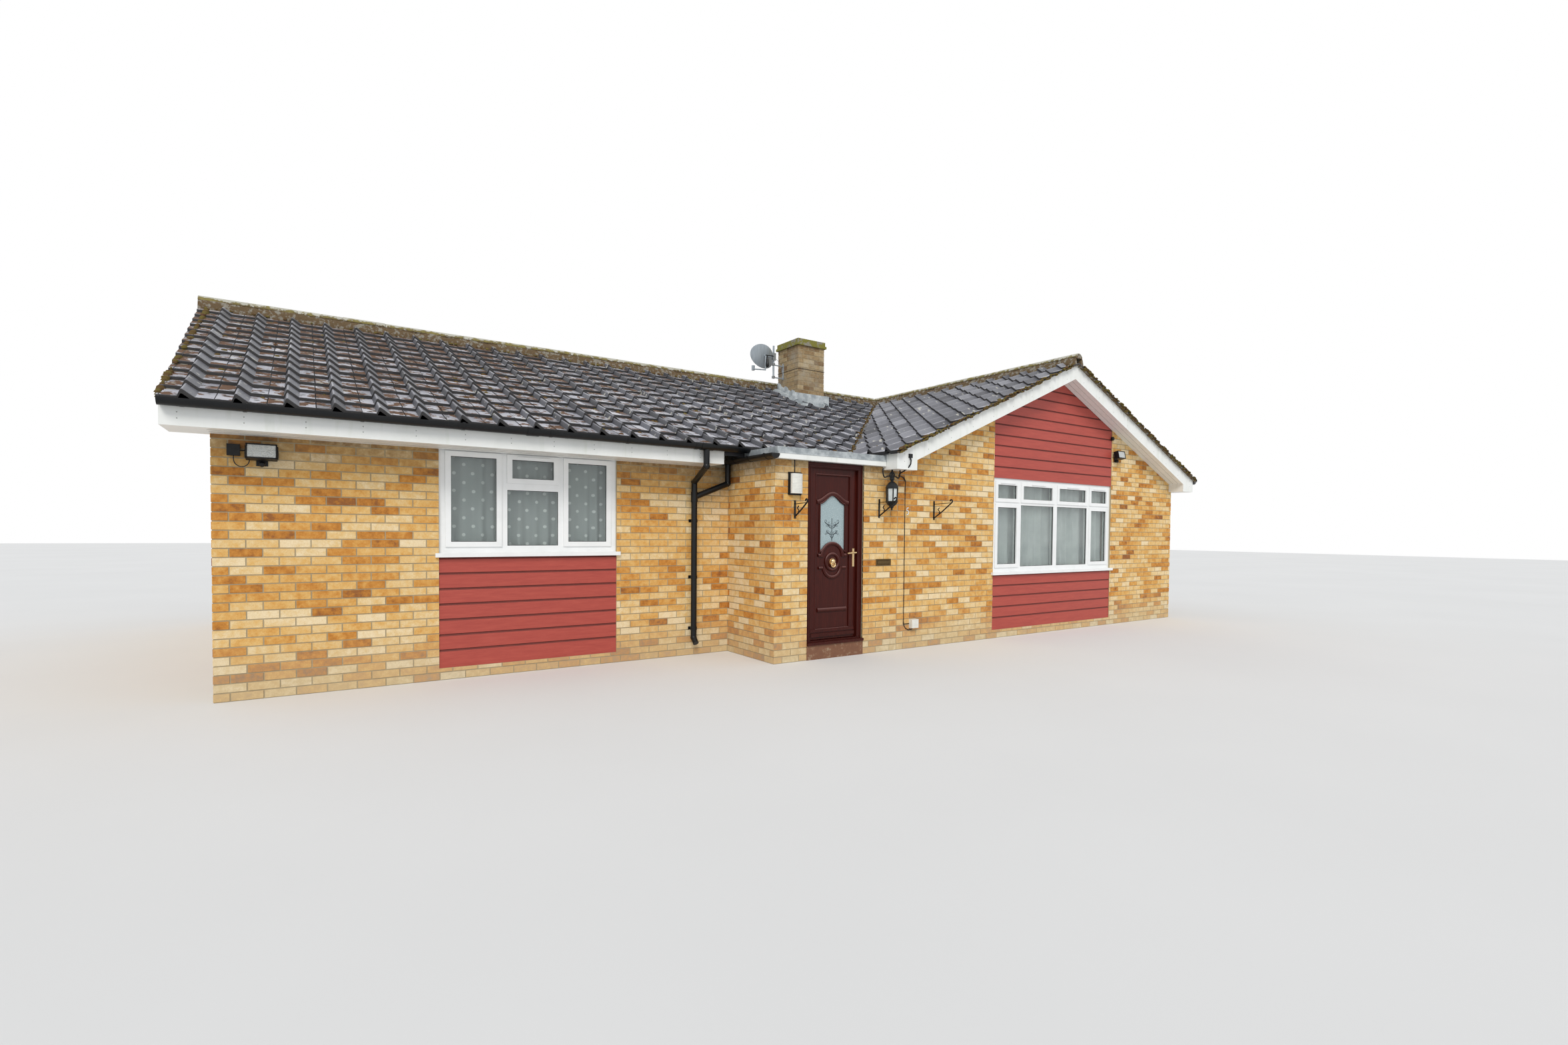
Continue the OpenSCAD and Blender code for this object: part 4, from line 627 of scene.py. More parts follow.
# Verges. The last tiles over each gable are bedded in mortar on a thin strip of cement board, the
# undercloak, that rests on the bargeboard.
# Sand and cement: pale, rough, with algae
bedding_mortar, tree, shader, here = surface("roof_bedding_mortar")
crumbs = add(tree, "TexNoise", Vector=here, Scale=per(14), Detail=7.0, Roughness=0.72)
algae = add(tree, "TexNoise", Vector=here, Scale=per(60), Detail=6.0, Roughness=0.65)
finish(tree, shader,
       add(tree, "MixRGB", Fac=add(tree, "MapRange", Value=algae, From_Min=0.42, From_Max=0.5),
           Color1=add(tree, "ValToRGB", Fac=crumbs, stops=[(0, "#57534A"), (0.5, "#8B867A"), (1, "#B5B0A2")]),
           Color2=add(tree, "ValToRGB", Fac=crumbs,
                      stops=[(0, "#382A1E"), (0.55, "#67543A"), (1, "#95835A")])),
       crumbs, (0.85, 1.0), crumbs, (1.0, 0.005))

verge = Shape()
verge_edges = ((main_front, LEFT_EDGE), (main_rear, -LEFT_EDGE), (wing_left, -FRONT_END),
               (wing_left, -REAR_END), (wing_right, FRONT_END), (wing_right, REAR_END))
for (place, edge), inward in zip(verge_edges, (1, -1, -1, 1, 1, -1)):
    for depth0, depth1, low, high, wobble in ((0.004, 0.075, -0.001, 0.004, 0.0),
                                              (0.01, 0.08, 0.004, 0.02, 0.004)):
        loops = []
        for i in range(49):
            s = -0.042 + (HALF_SPAN + 0.03) * i / 48
            w = wobble * noise.noise(Vector((edge, s * 9, low)))
            loops.append([place(edge + inward * d, s, h) for d, h in
                          ((depth0 + w, low), (depth1, low), (depth1, high), (depth0 - w, high))])
        verge.loft(loops)
for end in (0, MAIN_D):
    for keep, side in ((-KEEP, 1), (KEEP, -1)):
        loops = []
        for i in range(41):
            s = -0.035 + 3.46 * i / 40
            w = 0.006 * noise.noise(Vector((keep * 40, s * 7, end)))
            x_edge = VALLEY + keep
            points = []
            for back, h in ((0.006 + w, 0.006), (0.1, 0.006), (0.1, 0.018), (0.014 - w, 0.015)):
                if side > 0:
                    y = s - OVERHANG
                    points.append(Vector((x_edge + y - back, y, EAVE_Z + SLOPE * s + h)))
                else:
                    x = WING_EAVES + s
                    points.append(Vector((x, x - x_edge - back, EAVE_Z + SLOPE * s + h)))
            if end:
                points = [Vector((p.x, MAIN_D - p.y, p.z)) for p in points]
            loops.append(points)
        verge.loft(loops)
piece("verge_and_valley_mortar", verge, bedding_mortar, soften=50)

# Ridges. Half round concrete tiles of 450 mm are bedded and pointed in mortar along both ridges.
RIDGE_R = 0.088
RIDGE_Z = 4.094 - RIDGE_R
ridge, bed = Shape(), Shape()


def ridge_run(start, end, place):
    """Ridge tiles and their mortar from start to end; place turns along, across and up into a point."""
    count = round((end - start) / 0.455)
    step = (end - start) / count
    for i in range(count):
        lift = yard.uniform(-0.003, 0.003)
        tint = min(max(yard.gauss(0.5, 0.2), 0), 1)
        loops = []
        for u, r in ((0.002, RIDGE_R - 0.012), (0.002, RIDGE_R - 0.002), (0.006, RIDGE_R),
                     (step - 0.006, RIDGE_R), (step - 0.002, RIDGE_R - 0.002),
                     (step - 0.002, RIDGE_R - 0.012)):
            loops.append([place(start + i * step + u, r * math.sin(t), RIDGE_Z + lift + r * math.cos(t))
                          for t in (math.radians(-72 + 144 * k / 16) for k in range(17))])
        ridge.loft(loops, around=False, caps=False, mark=(tint,))
    spots = [start + 0.004 + (end - start - 0.008) * i / 60 for i in range(61)]
    bed.loft([[place(u, (RIDGE_R - 0.006) * math.sin(t), RIDGE_Z + (RIDGE_R - 0.006) * math.cos(t))
               for t in (math.radians(-80 + 160 * k / 14) for k in range(15))] for u in spots])
    for side in (-1, 1):
        loops = []
        for u in spots:
            w = 0.014 * noise.noise(Vector((u * 11, side, start)))
            loops.append([place(u, side * 0.05, 3.98), place(u, side * (0.08 + w), 4.026 + w),
                          place(u, side * (0.1 + w), 3.99), place(u, side * (0.112 + w), 3.95),
                          place(u, side * (0.116 + w), 3.9), place(u, side * 0.05, 3.9)])
        bed.loft(loops)


ridge_run(FRONT_END, REAR_END, lambda u, v, z: Vector((RIDGE_X + v, u, z)))
ridge_run(-0.362, RIDGE_X - 0.09, lambda u, v, z: Vector((u, RIDGE_Y + v, z)))
# Ridge tile: the same concrete, whitened by lichen on its crown and hidden by moss down its sides
ridge_concrete, tree, shader, here, batch = surface("mossy_ridge_tile", "batch")
grain = add(tree, "TexNoise", Vector=here, Scale=per(11), Detail=6.0, Roughness=0.72)
growth = add(tree, "TexNoise", Vector=here, Scale=per(90), Detail=8.0, Roughness=0.66)
split = add(tree, "SeparateXYZ", Vector=here)
low_down = add(tree, "MapRange", Value=split.outputs["Z"], From_Min=4.088, From_Max=4.04, To_Min=-0.1,
               To_Max=0.12)
spread = add(tree, "Math", growth, low_down, operation="ADD")
whitened = add(tree, "ValToRGB", Fac=grain,
               stops=[(0, "#5A5852"), (0.4, "#A9A79C"), (0.65, "#D6D4C8"), (1, "#E6E4DA")])
greened = add(tree, "ValToRGB", Fac=growth,
              stops=[(0, "#3A2E20"), (0.42, "#5C4A30"), (0.55, "#7B7040"), (1, "#A9A05C")])
finish(tree, shader,
       add(tree, "MixRGB", Fac=add(tree, "MapRange", Value=spread, From_Min=0.5, From_Max=0.56),
           Color1=add(tree, "MixRGB", Fac=batch, Color1=whitened, Color2="#B0AE9F"), Color2=greened),
       growth, (0.8, 1.0), growth, (0.9, 0.008))
ridge_piece = piece("ridge_tile_run", ridge, ridge_concrete, soften=50, fields=("batch",),
                    outward=False)
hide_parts("ridge_tiles")
piece("ridge_bedding", bed, bedding_mortar, soften=50)

# Lead. Open valleys are lined with sheet lead, and the stack has an apron dressed over the tiles, a
# soaker at each side and a cover flashing turned into its joints.
# Sheet lead: beaten soft, dull blue grey with a white bloom
lead_sheet = coat("weathered_sheet_lead", 140, 8.0, (0.5, 0.8), (0.5, 0.004),
                  [(0, "#6F767B"), (0.45, "#959CA0"), (0.6, "#B9BFC1"), (1, "#D6D9D8")],
                  grain=0.65, relief=(45, 3.0), Metallic=0.25)


def tile_back(s):
    """Height of the pans' top over the deck, s up the slope: each tile is tilted by the one under it."""
    return 0.046 - 0.03 * (((s + TAIL) / GAUGE) % 1)


def over_tiles(x, s):
    """Height of the tiles' top over the deck of the main front slope."""
    across, rise = (x - FIRST_TILE) % TILE_W, tile_back(s)
    for (u0, h0), (u1, h1) in zip(roll, roll[1:]):
        if u0 <= across <= u1:
            return rise + h0 + (h1 - h0) * (across - u0) / (u1 - u0)
    return rise


leads = Shape()
for mirrored in (False, True):
    for side in (0, 1):
        line = []
        for i in range(31):
            s = -0.05 + 3.48 * i / 30
            edge, low = [], 0.002
            for off in (0.0, 0.045, 0.092):
                if side:
                    p = Vector((WING_EAVES + s, s - OVERHANG - off, EAVE_Z + SLOPE * s + low))
                else:
                    p = Vector((WING_EAVES + s - off, s - OVERHANG, EAVE_Z + SLOPE * s + low))
                edge.append(Vector((p.x, MAIN_D - p.y, p.z)) if mirrored else p)
            line.append(edge)
        leads.loft(line, around=False, caps=False)
x0, y0, x1, y1 = STACK
apron = []
for i in range(73):
    x = x0 - 0.12 + (x1 - x0 + 0.24) * i / 72
    edge = 0.185 + 0.012 * math.sin(i * 0.55) + 0.008 * math.sin(i * 1.3)
    column = []
    for k in range(9):
        s = y0 + OVERHANG - 0.008 - edge * (1 - k / 8)
        column.append(main_front(x, s, max(over_tiles(x, s), 0.03) + 0.005))
    column.append(main_front(x, y0 + OVERHANG - 0.008, 0.205))
    apron.append(column)
leads.loft(apron, around=False, caps=False)
for side, x in ((-1, x0), (1, x1)):
    skirt = []
    for i in range(25):
        s = y0 + OVERHANG - 0.02 + (y1 - y0 + 0.04) * i / 24
        skirt.append([main_front(x + side * d, s, h) for d, h in
                      ((0.12, max(over_tiles(x + side * 0.12, s), 0.04) + 0.004), (0.06, 0.082),
                       (0.009, 0.092),
                       (0.0075, 0.17 + 0.035 * ((i // 4) % 2)))])
    leads.loft(skirt, around=False, caps=False)
lead_piece = piece("lead_work", leads, lead_sheet, soften=40, outward=False)
sheet = lead_piece.modifiers.new("sheet", "SOLIDIFY")
sheet.thickness, sheet.offset = 0.003, 1
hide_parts("lead_flashings")

# Moss. Cushions of moss sit in the tiles' pans, along the ridges, at the verges and in the valleys.
# Moss: soft, matt, yellow green where it is wet and brown where it has dried
moss_cushion, tree, shader, here, wet = surface("dried_and_living_moss", "wet")
tufts = add(tree, "TexNoise", Vector=here, Scale=per(6), Detail=6.0, Roughness=0.75)
finish(tree, shader,
       add(tree, "MixRGB", Fac=wet,
           Color1=add(tree, "ValToRGB", Fac=tufts, stops=[(0, "#38291E"), (0.6, "#654B36"), (1, "#8B6C4B")]),
           Color2=add(tree, "ValToRGB", Fac=tufts, stops=[(0, "#4B4620"), (0.6, "#80793A"), (1, "#A9A35C")])),
       tufts, (0.88, 1.0), tufts, (1.0, 0.006), Specular_IOR_Level=0.1)
moss = Shape()
spore = random.Random(23)


def cushion(shape, place, a, s, h, size, wet_part):
    """One low lump, uneven round its rim, standing on a slope."""
    loops = []
    for r, up in ((1.0, -0.2), (0.82, 0.28), (0.45, 0.5)):
        loops.append([place(a + size * r * wide * math.cos(t), s + size * r * tall * math.sin(t),
                            h + size * up)
                      for t, wide, tall in ((2 * math.pi * k / 7, spore.uniform(0.75, 1.25),
                                             spore.uniform(0.6, 1.1)) for k in range(7))])
    shape.loft(loops, mark=(wet_part,))


def in_valley(a, s, place):
    """Whether a point on a slope lies beyond its valley's cut."""
    p = place(a, s, 0)
    y = min(p.y, MAIN_D - p.y)
    return p.x - y > VALLEY - KEEP if place in (main_front, main_rear) else p.x - y < VALLEY + KEEP


for place, a0, a1, edge, count, wetness in (
        (main_front, -0.3, 9.8, FIRST_TILE, 420, 0.25), (wing_left, -3.0, 1.3, -FRONT_END, 110, 0.35),
        (wing_left, -7.5, -3.2, -REAR_END, 110, 0.35), (main_rear, -9.8, 0.3, VERGE, 300, 0.6),
        (wing_right, -1.3, 7.5, FRONT_END, 260, 0.4)):
    for _ in range(count):
        row = spore.randrange(COURSES)
        s = GAUGE * row - TAIL + (0.235 if spore.random() < 0.6 else spore.uniform(0.02, 0.22))
        column = TILE_W * spore.randrange(int((a1 - a0) / TILE_W) + 1) * (1 if edge < a1 - 1 else -1)
        a = edge + column + spore.choice((0.04, 0.08, 0.225, 0.26, 0.3)) + spore.uniform(-0.02, 0.02)
        if not a0 < a < a1 or not -0.03 < s < 3.45 or (place is not wing_right and in_valley(a, s, place)):
            continue
        if noise.noise(place(a, s, 0) * 0.9) < -0.05:
            continue
        cushion(moss, place, a, s, tile_back(s), spore.uniform(0.012, 0.03),
                min(max(spore.gauss(wetness, 0.25), 0), 1))
for along0, along1, place in ((-0.3, 9.75, main_front), (-9.75, 0.3, main_rear), (-7.5, 1.3, wing_left),
                              (-1.3, 7.5, wing_right)):
    for _ in range(int((along1 - along0) * 26)):
        cushion(moss, place, spore.uniform(along0, along1), 3.425 + spore.uniform(-0.035, 0.03), 0.05,
                spore.uniform(0.01, 0.026), spore.uniform(0.0, 0.7))
for mirrored in (False, True):
    for _ in range(420):
        s = spore.uniform(-0.03, 3.35)
        off = spore.choice((-1, 1)) * (0.02 + abs(spore.gauss(0, 0.035)))
        place = main_rear if mirrored else main_front
        if off < 0:
            a = WING_EAVES + s + off
        else:
            place, a = wing_left, -(s - OVERHANG - off)
        if mirrored:
            a = -a if off < 0 else -MAIN_D - a
        cushion(moss, place, a, s, 0.03, spore.uniform(0.01, 0.026), spore.uniform(0.0, 0.5))
for place, edge in verge_edges:
    for _ in range(320):
        s = spore.uniform(0.0, 3.4)
        grown = 0.6 + 0.8 * abs(noise.noise(Vector((s * 3, edge, 0))))
        cushion(moss, place, edge, s, spore.uniform(-0.01, 0.045), grown * spore.uniform(0.012, 0.034),
                spore.uniform(0.0, 0.7))
piece("moss_cushions", moss, moss_cushion, soften=80, fields=("wet",), outward=False)

# Fascias, soffits and bargeboards. White boards of extruded plastic foam are nailed to the rafter
# ends and to ladders at the gables, each pair of nails under small round caps; the boards have a thin
# film of algae under the tiles.
# White foamed plastic: satin skin, slightly grubby, green towards the drips
white_board, tree, shader, here = surface("white_foamed_plastic_board")
grime = add(tree, "TexNoise", Vector=here, Scale=per(240), Detail=7.0, Roughness=0.62)
run_place = add(tree, "Mapping", Vector=here, Scale=(1.0, 1.0, 0.12))
runs = add(tree, "TexNoise", Vector=run_place, Scale=per(60), Detail=6.0)
skin = add(tree, "ValToRGB", Fac=grime, stops=[(0, "#DDE0DB"), (0.5, "#ECEEEB"), (1, "#F4F5F3")])
finish(tree, shader,
       add(tree, "MixRGB", Fac=add(tree, "MapRange", Value=runs, From_Min=0.55, From_Max=0.8, To_Max=0.35),
           Color1=skin, Color2="#C3CBB8"),
       grime, (0.28, 0.45), grime, (0.08, 0.002))
for board in ("fascias", "soffits", "bargeboards"):
    dress(board, white_board)


def cap(shape, centre, out, radius=0.005, proud=0.0025):
    """A small domed nail cap on a board's face."""
    out = Vector(out)
    side = out.orthogonal().normalized()
    up = out.cross(side)
    shape.loft([[Vector(centre) + out * h + r * (math.cos(t) * side + math.sin(t) * up)
                 for t in (2 * math.pi * k / 8 for k in range(8))]
                for r, h in ((radius, -0.001), (radius * 0.85, proud * 0.7), (radius * 0.4, proud))])


caps = Shape()
fascia_caps = [(-0.16 + 0.4 * i, -OVERHANG, (0, -1, 0)) for i in range(12)]
fascia_caps += [(-0.16 + 0.4 * i, MAIN_D + OVERHANG, (0, 1, 0)) for i in range(17)]
fascia_caps += [(RIGHT_EAVES, -1.15 + 0.4 * i, (1, 0, 0)) for i in range(22)]
for x, y, out in fascia_caps:
    for z in (2.268, 2.314):
        cap(caps, (x, y, z), out)
for i in range(9):
    s = 0.12 + 0.4 * i
    for drop in (0.06, 0.15):
        z = EAVE_Z + SLOPE * s - drop
        for y, out in ((-1.27, -1), (7.49, 1)):
            for x in (WING_EAVES + s, RIGHT_EAVES - s):
                cap(caps, (x, y, z), (0, out, 0))
        for y in (s - OVERHANG, 6.64 - s):
            cap(caps, (-0.265, y, z), (-1, 0, 0))

# Soffit joints. The boards under the eaves and up the gables are tongued together every 150 mm, and
# each joint, a fine shadow line with a bead beside it, is drawn as one thin grey strip: painted shade.
joints = Shape()
HALF_JOINT, bottom, top = 0.0022, SOFFIT_Z - 0.0012, SOFFIT_Z + 0.004
for y in (-0.285, -0.15):
    joints.block((0.0, y - HALF_JOINT, bottom), (4.54, y + HALF_JOINT, top))
    joints.block((0.0, MAIN_D - y - HALF_JOINT, bottom), (6.62, MAIN_D - y + HALF_JOINT, top))
for x, y in ((6.54, -0.45), (13.33, 7.23)):
    joints.block((x - HALF_JOINT, -1.01, bottom), (x + HALF_JOINT, y, top))
for place, depths, over in ((main_front, (-0.17, -0.085), OVERHANG), (main_rear, (0.17, 0.085), OVERHANG),
                            (wing_left, (1.185, 1.1), WING_OVERHANG),
                            (wing_right, (-1.185, -1.1), WING_OVERHANG),
                            (wing_left, (-7.4, -7.32), WING_OVERHANG),
                            (wing_right, (7.4, 7.32), WING_OVERHANG)):
    for a in depths:
        joints.loft([[place(a + d, s, h) for d, h in ((-HALF_JOINT, -0.2052), (HALF_JOINT, -0.2052),
                                                      (HALF_JOINT, -0.2), (-HALF_JOINT, -0.2))]
                     for s in (over + 0.09, HALF_SPAN - 0.02)])
# Joint strips and nail caps: the same plastic, grey with dust and with painted shade
shade_and_dust_grey = coat("board_joint_shade_and_dust", 30, 5.0, (0.6, 0.8), (0.2, 0.001), [(0, "#8C8F8A"), (1, "#B3B6B0")])
piece("soffit_board_joints", joints, shade_and_dust_grey)
piece("nail_caps", caps, shade_and_dust_grey, soften=60)

# Gutters and downpipes. Black half round gutters snap into brackets on the fascias, and the pipes
# are held off the wall by clips.
# Black plastic: extruded, glossy when new, now greyed by dust
black_plastic = coat("greyed_black_plastic", 90, 8.0, (0.2, 0.42), (0.1, 0.001),
                     [(0, "#0B0C0E"), (0.6, "#141618"), (1, "#2C2E30")], grain=0.65, Specular_IOR_Level=0.3)
for run in ("gutters", "downpipes"):
    dress(run, black_plastic)
unions = Shape()
GUTTER_R, RIM_Z = 0.056, 2.404


def gutter_band(shape, centre, along, width, r0, r1):
    """A band round the outside of a half round gutter, with a clip over its front rim."""
    along = Vector(along)
    out = Vector((along.y, -along.x, 0))
    loops = []
    for d in (-width / 2, width / 2):
        ring = []
        for r in (r0, r1):
            angles = [math.radians(-82 + 172 * k / 10) for k in range(11)]
            if r == r1:
                angles.reverse()
            ring.extend(Vector(centre) + along * d + out * (r * math.sin(t)) - Vector((0, 0, r * math.cos(t)))
                        for t in angles)
        loops.append(ring)
    shape.loft(loops)
    tip = Vector(centre) + out * (r0 - 0.002)
    shape.loft([[tip + along * d + out * a + Vector((0, 0, b)) for a, b in ((-0.008, -0.004), (0.007, -0.004),
                                                                         (0.007, 0.006), (-0.008, 0.004))]
                for d in (-width / 2, width / 2)])


BRACKET, UNION = 0.0035, 0.005
bands = [((0.25 + 0.78 * i, -0.48, RIM_Z), (1, 0, 0), 0.026, BRACKET) for i in range(6)]
bands += [((2.42, -0.48, RIM_Z), (1, 0, 0), 0.11, UNION), ((4.285, -0.48, RIM_Z), (1, 0, 0), 0.15, UNION)]
bands += [((4.77, y, 2.296), (0, -1, 0), 0.028, BRACKET) for y in (-0.98, -0.62, -0.3)]
bands += [((-0.1 + 0.8 * i, MAIN_D + 0.48, RIM_Z), (-1, 0, 0), 0.026, BRACKET) for i in range(8)]
bands += [((13.525, -1.0 + 0.8 * i, RIM_Z), (0, 1, 0), 0.026, BRACKET) for i in range(11)]
for centre, along, width, thick in bands:
    gutter_band(unions, centre, along, width, GUTTER_R - 0.001, GUTTER_R + thick)
piece("gutter_brackets_and_unions", unions, black_plastic, soften=40)

# Canopy. A flat deck is covered with lead that is turned down over its front edge, above a painted
# strip. Rolls stand along the sheet's joints. The lead is the same as in the valleys.
dress("canopy_roof", lead_sheet)
rolls = Shape()
for x in (5.35, 5.86):
    rolls.tube([(x, -1.075, 2.381), (x, -0.99, 2.384), (x, -0.46, 2.384)], 0.012, 10)
rolls.loft([[(x, y, z) for y, z in ((-1.081, 2.31), (-1.09, 2.308), (-1.09, 2.318), (-1.081, 2.326))]
            for x in (4.83, 6.4)])
piece("canopy_lead_rolls", rolls, lead_sheet, soften=50)

strip = Shape()
strip.loft([[(x, y, z) for y, z in ((-1.03, 2.25), (-1.083, 2.25), (-1.086, 2.253), (-1.086, 2.311),
                                    (-1.03, 2.311))] for x in (4.836, 6.398)])
piece("canopy_strip", strip, white_board)

# Windows. White hollow plastic sections, welded at the corners, hold sealed units behind black
# gaskets. Each top light has a slot vent in its head. None of them opens here.
# White window plastic: smooth, glossy, clean but for dust in its corners
window_plastic = coat("white_window_plastic", 180, 6.0, (0.18, 0.32), (0.05, 0.001),
                      [(0, "#E2E5E4"), (0.5, "#EFF1F1"), (1, "#F6F7F7")], grain=0.6)
for sashes in ("window_left_frame", "window_gable_frame", "rear_window_frames"):
    dress(sashes, window_plastic)

# Float glass: clear, faintly green, with a breath of dust
float_glass = coat("sealed_float_glass", 300, 6.0, (0.01, 0.05), (0.03, 0.003),
                   [(0, "#E6EFEC"), (1, "#F2F7F6")], Transmission_Weight=1.0, IOR=1.5)
for panes in ("window_left_glass", "window_gable_glass", "rear_window_glass"):
    dress(panes, float_glass)

FRAME_W, SASH_W, MULLION_W, BEAD_W, TOP_LIGHT = 0.054, 0.054, 0.064, 0.014, 0.188


def left_lights(w, h):
    """The panes of a left window: their sides, foot and head, and whether their sash opens."""
    inner, mid0, mid1 = FRAME_W + SASH_W, (w - 0.505) / 2, (w + 0.505) / 2
    head = h - inner
    bar = head - TOP_LIGHT - SASH_W - MULLION_W
    return [(inner, mid0 - MULLION_W - SASH_W + BEAD_W, inner, head, 1),
            (mid0, mid1, FRAME_W + BEAD_W, bar, 0),
            (mid0 + 0.046, mid1 - 0.046, bar + MULLION_W + SASH_W, head, 1),
            (mid1 + MULLION_W + SASH_W - BEAD_W, w - inner, inner, head, 1)]


def gable_lights(w, h):
    """The panes of a gable window, in the same form."""
    inner, half, post = FRAME_W + SASH_W, w / 2, MULLION_W * 0.68
    outer, head = half - post - 0.768, h - inner + 0.014
    bar = head - TOP_LIGHT - SASH_W - MULLION_W / 2
    left, right = outer - MULLION_W - SASH_W + BEAD_W, w - outer + MULLION_W + SASH_W - BEAD_W
    low, sill = (inner, bar - SASH_W + BEAD_W, 1), (FRAME_W + BEAD_W, bar, 0)
    top = (head - TOP_LIGHT, head, 1)
    return [(inner, left, *low), (inner, left, *top),
            (outer, half - post, *sill), (outer + 0.042, half - post - 0.042, *top),
            (half + post, w - outer, *sill), (half + post + 0.042, w - outer - 0.042, *top),
            (right, w - inner, *low), (right, w - inner, *top)]


seal_and_gap_blocks = Shape()
vents = Shape()
SILL_H = 0.04
for x, y, z, w, h, lights, flip in (
        (1.677, 0, 1.18, 1.758, 1.042, left_lights, 1), (8.462, -STEP, 0.878, 2.876, 1.313, gable_lights, 1),
        (1.677, MAIN_D, 1.18, 1.758, 1.042, left_lights, -1),
        (8.462, MAIN_D + STEP, 0.878, 2.876, 1.313, gable_lights, -1)):
    z += SILL_H
    for l0, l1, l2, l3, opens in lights(w, h):
        lo, hi = sorted((y + flip * 0.0325, y + flip * 0.0381))
        g, lap = 0.0045, 0.0005
        seal_and_gap_blocks.block((x + l0 - lap, lo, z + l2), (x + l0 + g, hi, z + l3))
        seal_and_gap_blocks.block((x + l1 - g, lo, z + l2), (x + l1 + lap, hi, z + l3))
        seal_and_gap_blocks.block((x + l0, lo, z + l2 - lap), (x + l1, hi, z + l2 + g))
        seal_and_gap_blocks.block((x + l0, lo, z + l3 - g), (x + l1, hi, z + l3 + lap))
        # Round each opening sash a thin black line on the frame: a painted shadow gap between sash and frame
        if opens:
            out = sorted((y + flip * 0.0105, y + flip * 0.0125))
            e, back, line = SASH_W - 0.004, 0.0135 if flip > 0 else -0.0135, 0.0016
            for a0, a1, b0, b1 in ((l0 - e, l0 - e + line, l2 - e, l3 + e),
                                   (l1 + e - line, l1 + e, l2 - e, l3 + e),
                                   (l0 - e, l1 + e, l2 - e, l2 - e + line),
                                   (l0 - e, l1 + e, l3 + e - line, l3 + e)):
                seal_and_gap_blocks.block((x + a0, out[0] + back - 0.0005, z + b0), (x + a1, out[1] + back, z + b1))
        if l3 - l2 < 0.25:
            mid, vy = (l0 + l1) / 2, y + flip * 0.0125
            reach = min(0.16, (l1 - l0) / 2 - 0.02)
            for d0, d1, foot in ((0, 0.009, 0.014), (0.009, 0.014, 0.022)):
                face = sorted((vy - flip * d0, vy - flip * d1))
                vents.block((x + mid - reach, face[0], z + l3 + foot),
                            (x + mid + reach, face[1], z + l3 + 0.03))
# Synthetic rubber: soft, dull black; the same black is painted on the frames as shadow gaps round the opening
# sashes
seal_and_gap_black = coat("black_seal_rubber_and_gap_shade", 20, 4.0, (0.6, 0.8), (0.1, 0.0003),
                     [(0, "#1E1F20"), (1, "#47484A")])
piece("glazing_seals_and_shadow_gaps", seal_and_gap_blocks, seal_and_gap_black)
piece("slot_vents", vents, window_plastic)

# Net curtains. White polyester net hangs from a wire inside each window: spotted net at the left
# and at its rear twin, plain net in deep folds in the gables.


def net(name, x0, x1, y, z0, z1, folds, depth, material):
    """A gathered sheet whose folds deepen from its heading to its hem."""
    across, down = max(60, folds * 10), 14
    shape = Shape()
    rows = []
    for j in range(down + 1):
        v = j / down
        row = []
        for i in range(across + 1):
            u = i / across
            t = 2 * math.pi * folds * (u + 0.012 * math.sin(2 * math.pi * 3.3 * u))
            swell = depth * (0.45 + 0.55 * v) * (0.75 + 0.25 * math.sin(9.1 * u * math.pi + 1))
            row.append(Vector((x0 + (x1 - x0) * u, y + swell * math.sin(t + 0.15 * math.sin(3 * v)),
                               z1 + (z0 - z1) * v)))
        rows.append(row)
    shape.loft(rows, around=False, caps=False)
    cloth = piece(name, shape, material, soften=80, outward=False)


# Spotted net: white dots, 34 mm across, woven into a sheer ground
spotted_net, tree, shader, here = surface("spotted_polyester_net")
split = add(tree, "SeparateXYZ", Vector=here)
plane = add(tree, "CombineXYZ", X=split.outputs["X"], Y=split.outputs["Z"])
turned = add(tree, "Mapping", Vector=plane, Rotation=(0, 0, math.radians(45)))
dots = add(tree, "TexVoronoi", Vector=turned, Scale=per(123), Randomness=0.08, voronoi_dimensions="2D")
dot_on = add(tree, "MapRange", Value=dots.outputs["Distance"], From_Min=0.15, From_Max=0.12)
threads = add(tree, "TexNoise", Vector=here, Scale=per(3), Detail=2.0)
finish(tree, shader, add(tree, "MixRGB", Fac=dot_on, Color1="#C3C7C9", Color2="#FFFFFF"), threads,
       (0.8, 0.95), threads, (0.2, 0.0005), Alpha=0.93)
# Plain net: fine white threads in upright folds
plain_net, tree, shader, here = surface("plain_polyester_net")
threads = add(tree, "TexNoise", Vector=here, Scale=per(3), Detail=2.0)
shade = add(tree, "TexNoise", Vector=here, Scale=per(200), Detail=4.0)
finish(tree, shader, add(tree, "ValToRGB", Fac=shade, stops=[(0, "#C4CACD"), (1, "#F6F8F8")]), threads,
       (0.8, 0.95), threads, (0.2, 0.0005), Alpha=0.93)
net("net_left_window", 1.69, 3.42, 0.155, 1.225, 2.25, 13, 0.026, spotted_net)
net("net_gable_window", 8.475, 11.325, -0.865, 0.925, 2.215, 18, 0.042, plain_net)
net("net_rear_left_window", 1.69, 3.42, MAIN_D - 0.155, 1.225, 2.25, 13, 0.026, spotted_net)
net("net_rear_gable_window", 8.475, 11.325, MAIN_D + 0.865, 0.925, 2.215, 18, 0.042, plain_net)

